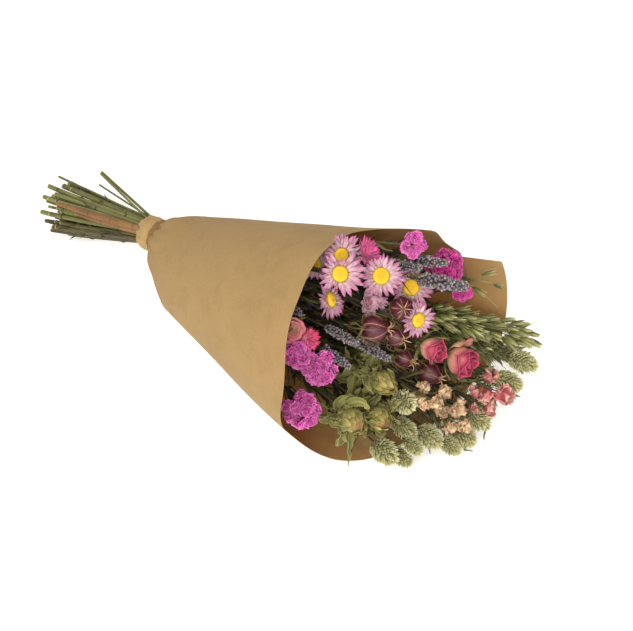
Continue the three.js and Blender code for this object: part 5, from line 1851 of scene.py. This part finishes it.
undergrowth_chance = Chance(2207)
grown = 0
for bunch, node in BUNCH_NODES.items():
    parts = []
    amount = (GRASS_LEAVES, GRASS_PALE_SHARE) if bunch in GRASSY else (LEAVES_ON_STEM, PALE_SHARE)
    for flower in (flower for flower in PLAN if flower["bunch"] == bunch):
        parts += spread_leaves(flower, undergrowth_chance, *amount)
    grown += len(parts)
    gather(f"{bunch}_undergrowth", parts, [SHADED_UNDERGROWTH, HAY], node, "stem_green")
print("withered leaves and twigs:", grown)

# %% [markdown]
# The grasses and the pink larkspur still carry soft green leaves just below their heads, and
# there a bunch stands out of the paper. The tufts close the gaps between the ears. They are the
# same thin leaf, set close and pointing the way of the stem.

# %% Feathery green round the grasses
FEATHER_LEAVES = 86
FEATHER_REACH = 60          # how far back from its head a stem is feathery, mm
FEATHERED = {"oat": (5, 6, 8, 3), "phalaris": (1, 2, 3, 4), "larkspur": (4, 5, 2, 3)}
FEATHER_NODES = {"oat": "oat_bunch", "phalaris": "phalaris_bunch", "larkspur": "larkspur_pink_bunch"}


def feather(flower, chance):
    parts = []
    tip = flower["base"] + flower["way"] * 14 * MM
    root_end = flower["base"] - flower["way"] * FEATHER_REACH * MM
    for _ in range(FEATHER_LEAVES):
        root = root_end.lerp(tip, chance.share())
        swing = chance.vector(1)
        forward = (flower["way"] + swing * 0.6).normalized()
        size = chance.between(0.3, 0.72)
        normal = chance.vector(1)
        spot = leaf_frame(root + swing * 5 * MM, forward, normal, size, size * chance.between(1.2, 3.0))
        parts.append(put(WITHERED, spot, chance.share()))
    return parts


feather_chance = Chance(515)
for kind, node in FEATHER_NODES.items():
    names = [f"{kind}_{number}" for number in FEATHERED[kind]]
    parts = []
    for flower in (flower for flower in PLAN if flower["name"] in names):
        parts += feather(flower, feather_chance)
    gather(f"{node}_feathers", parts, [HAY], node, "oat_green")
print("feathery leaves on a stem:", FEATHER_LEAVES)

# %% [markdown]
# Below the collar the tails keep shreds of their leaves too. Three thin side shoots stand off
# steeply, and two stems have lost their skin and show rusty brown.

# %% Shreds and side shoots on the tails
SHRED = petal_material("shred", [
    (0.0, 62, 60, 26), (0.6, 84, 80, 40), (1.0, 126, 110, 68)], (48, 44, 20), roughness=0.75,
    dark=0.4, pale=0.35)
LOW_SHREDS, OTHER_SHREDS = 14, 2        # on each of the lower stems, and on the others
# Root and tip of each shoot, then root, bend and tip of each bare stem, and their radii
SHOOTS = (((-12, 9, 9), (-92, 22, 25), 1.4), ((-12, 4, 12), (-90, 19, 26), 1.2),
          ((-12, 8, 10), (-88, 12, 18), 0.9))
BARE_STEMS = (((-13, -9, 12), (-62, -20, 15), (-107, -28, 17), 3.3),
              ((-13, -11, 9), (-52, -20, 11), (-84, -26, 12), 2.6))

shred_chance = Chance(909)
shreds = []
for flower in PLAN:
    tail, neck = flower["path"][:2]
    for _ in range(LOW_SHREDS if lies_low(flower) else OTHER_SHREDS):
        root = neck.lerp(tail, shred_chance.between(0.15, 0.85))
        root += NEAR_SIDE * shred_chance.between(0.5, 4) * MM
        forward = (tail - neck).normalized() + shred_chance.vector(0.5) * 0.55
        size = shred_chance.between(0.3, 0.9)
        if (root + forward * LEAF_LENGTH * size * MM).z < INSIDE * MM:
            forward.z = 0.1
        normal = shred_chance.vector(1)
        spot = leaf_frame(root, forward, normal, size, size * shred_chance.between(0.8, 1.9))
        shreds.append(put(WITHERED, spot, shred_chance.share()))
gather("tail_shreds", shreds, [SHRED], "centre_stems", "stem_green")

shoots = []
for start, end, thick in SHOOTS:
    line = rounded_path([place(*end), place(*start), place(10, start[1] * 0.8, start[2] * 0.8)], 3, 2)
    shoots.append(bend(STALK, line, [thick, thick, thick * 0.9], shred_chance.share()))
for start, middle, end, thick in BARE_STEMS:
    line = rounded_path([place(*end), place(*middle), place(*start), place(8, -4, 7)], 3, 2)
    shoots.append(bend(STALK, line, [thick * 0.7, thick, thick * 1.1, thick * 0.5], 0.5, 1))
gather("side_shoots", shoots, [SHOOT_GREEN, STALK_BROWN], "right_stems", "stem_green")
print("shreds and shoots:", len(shreds), len(shoots))
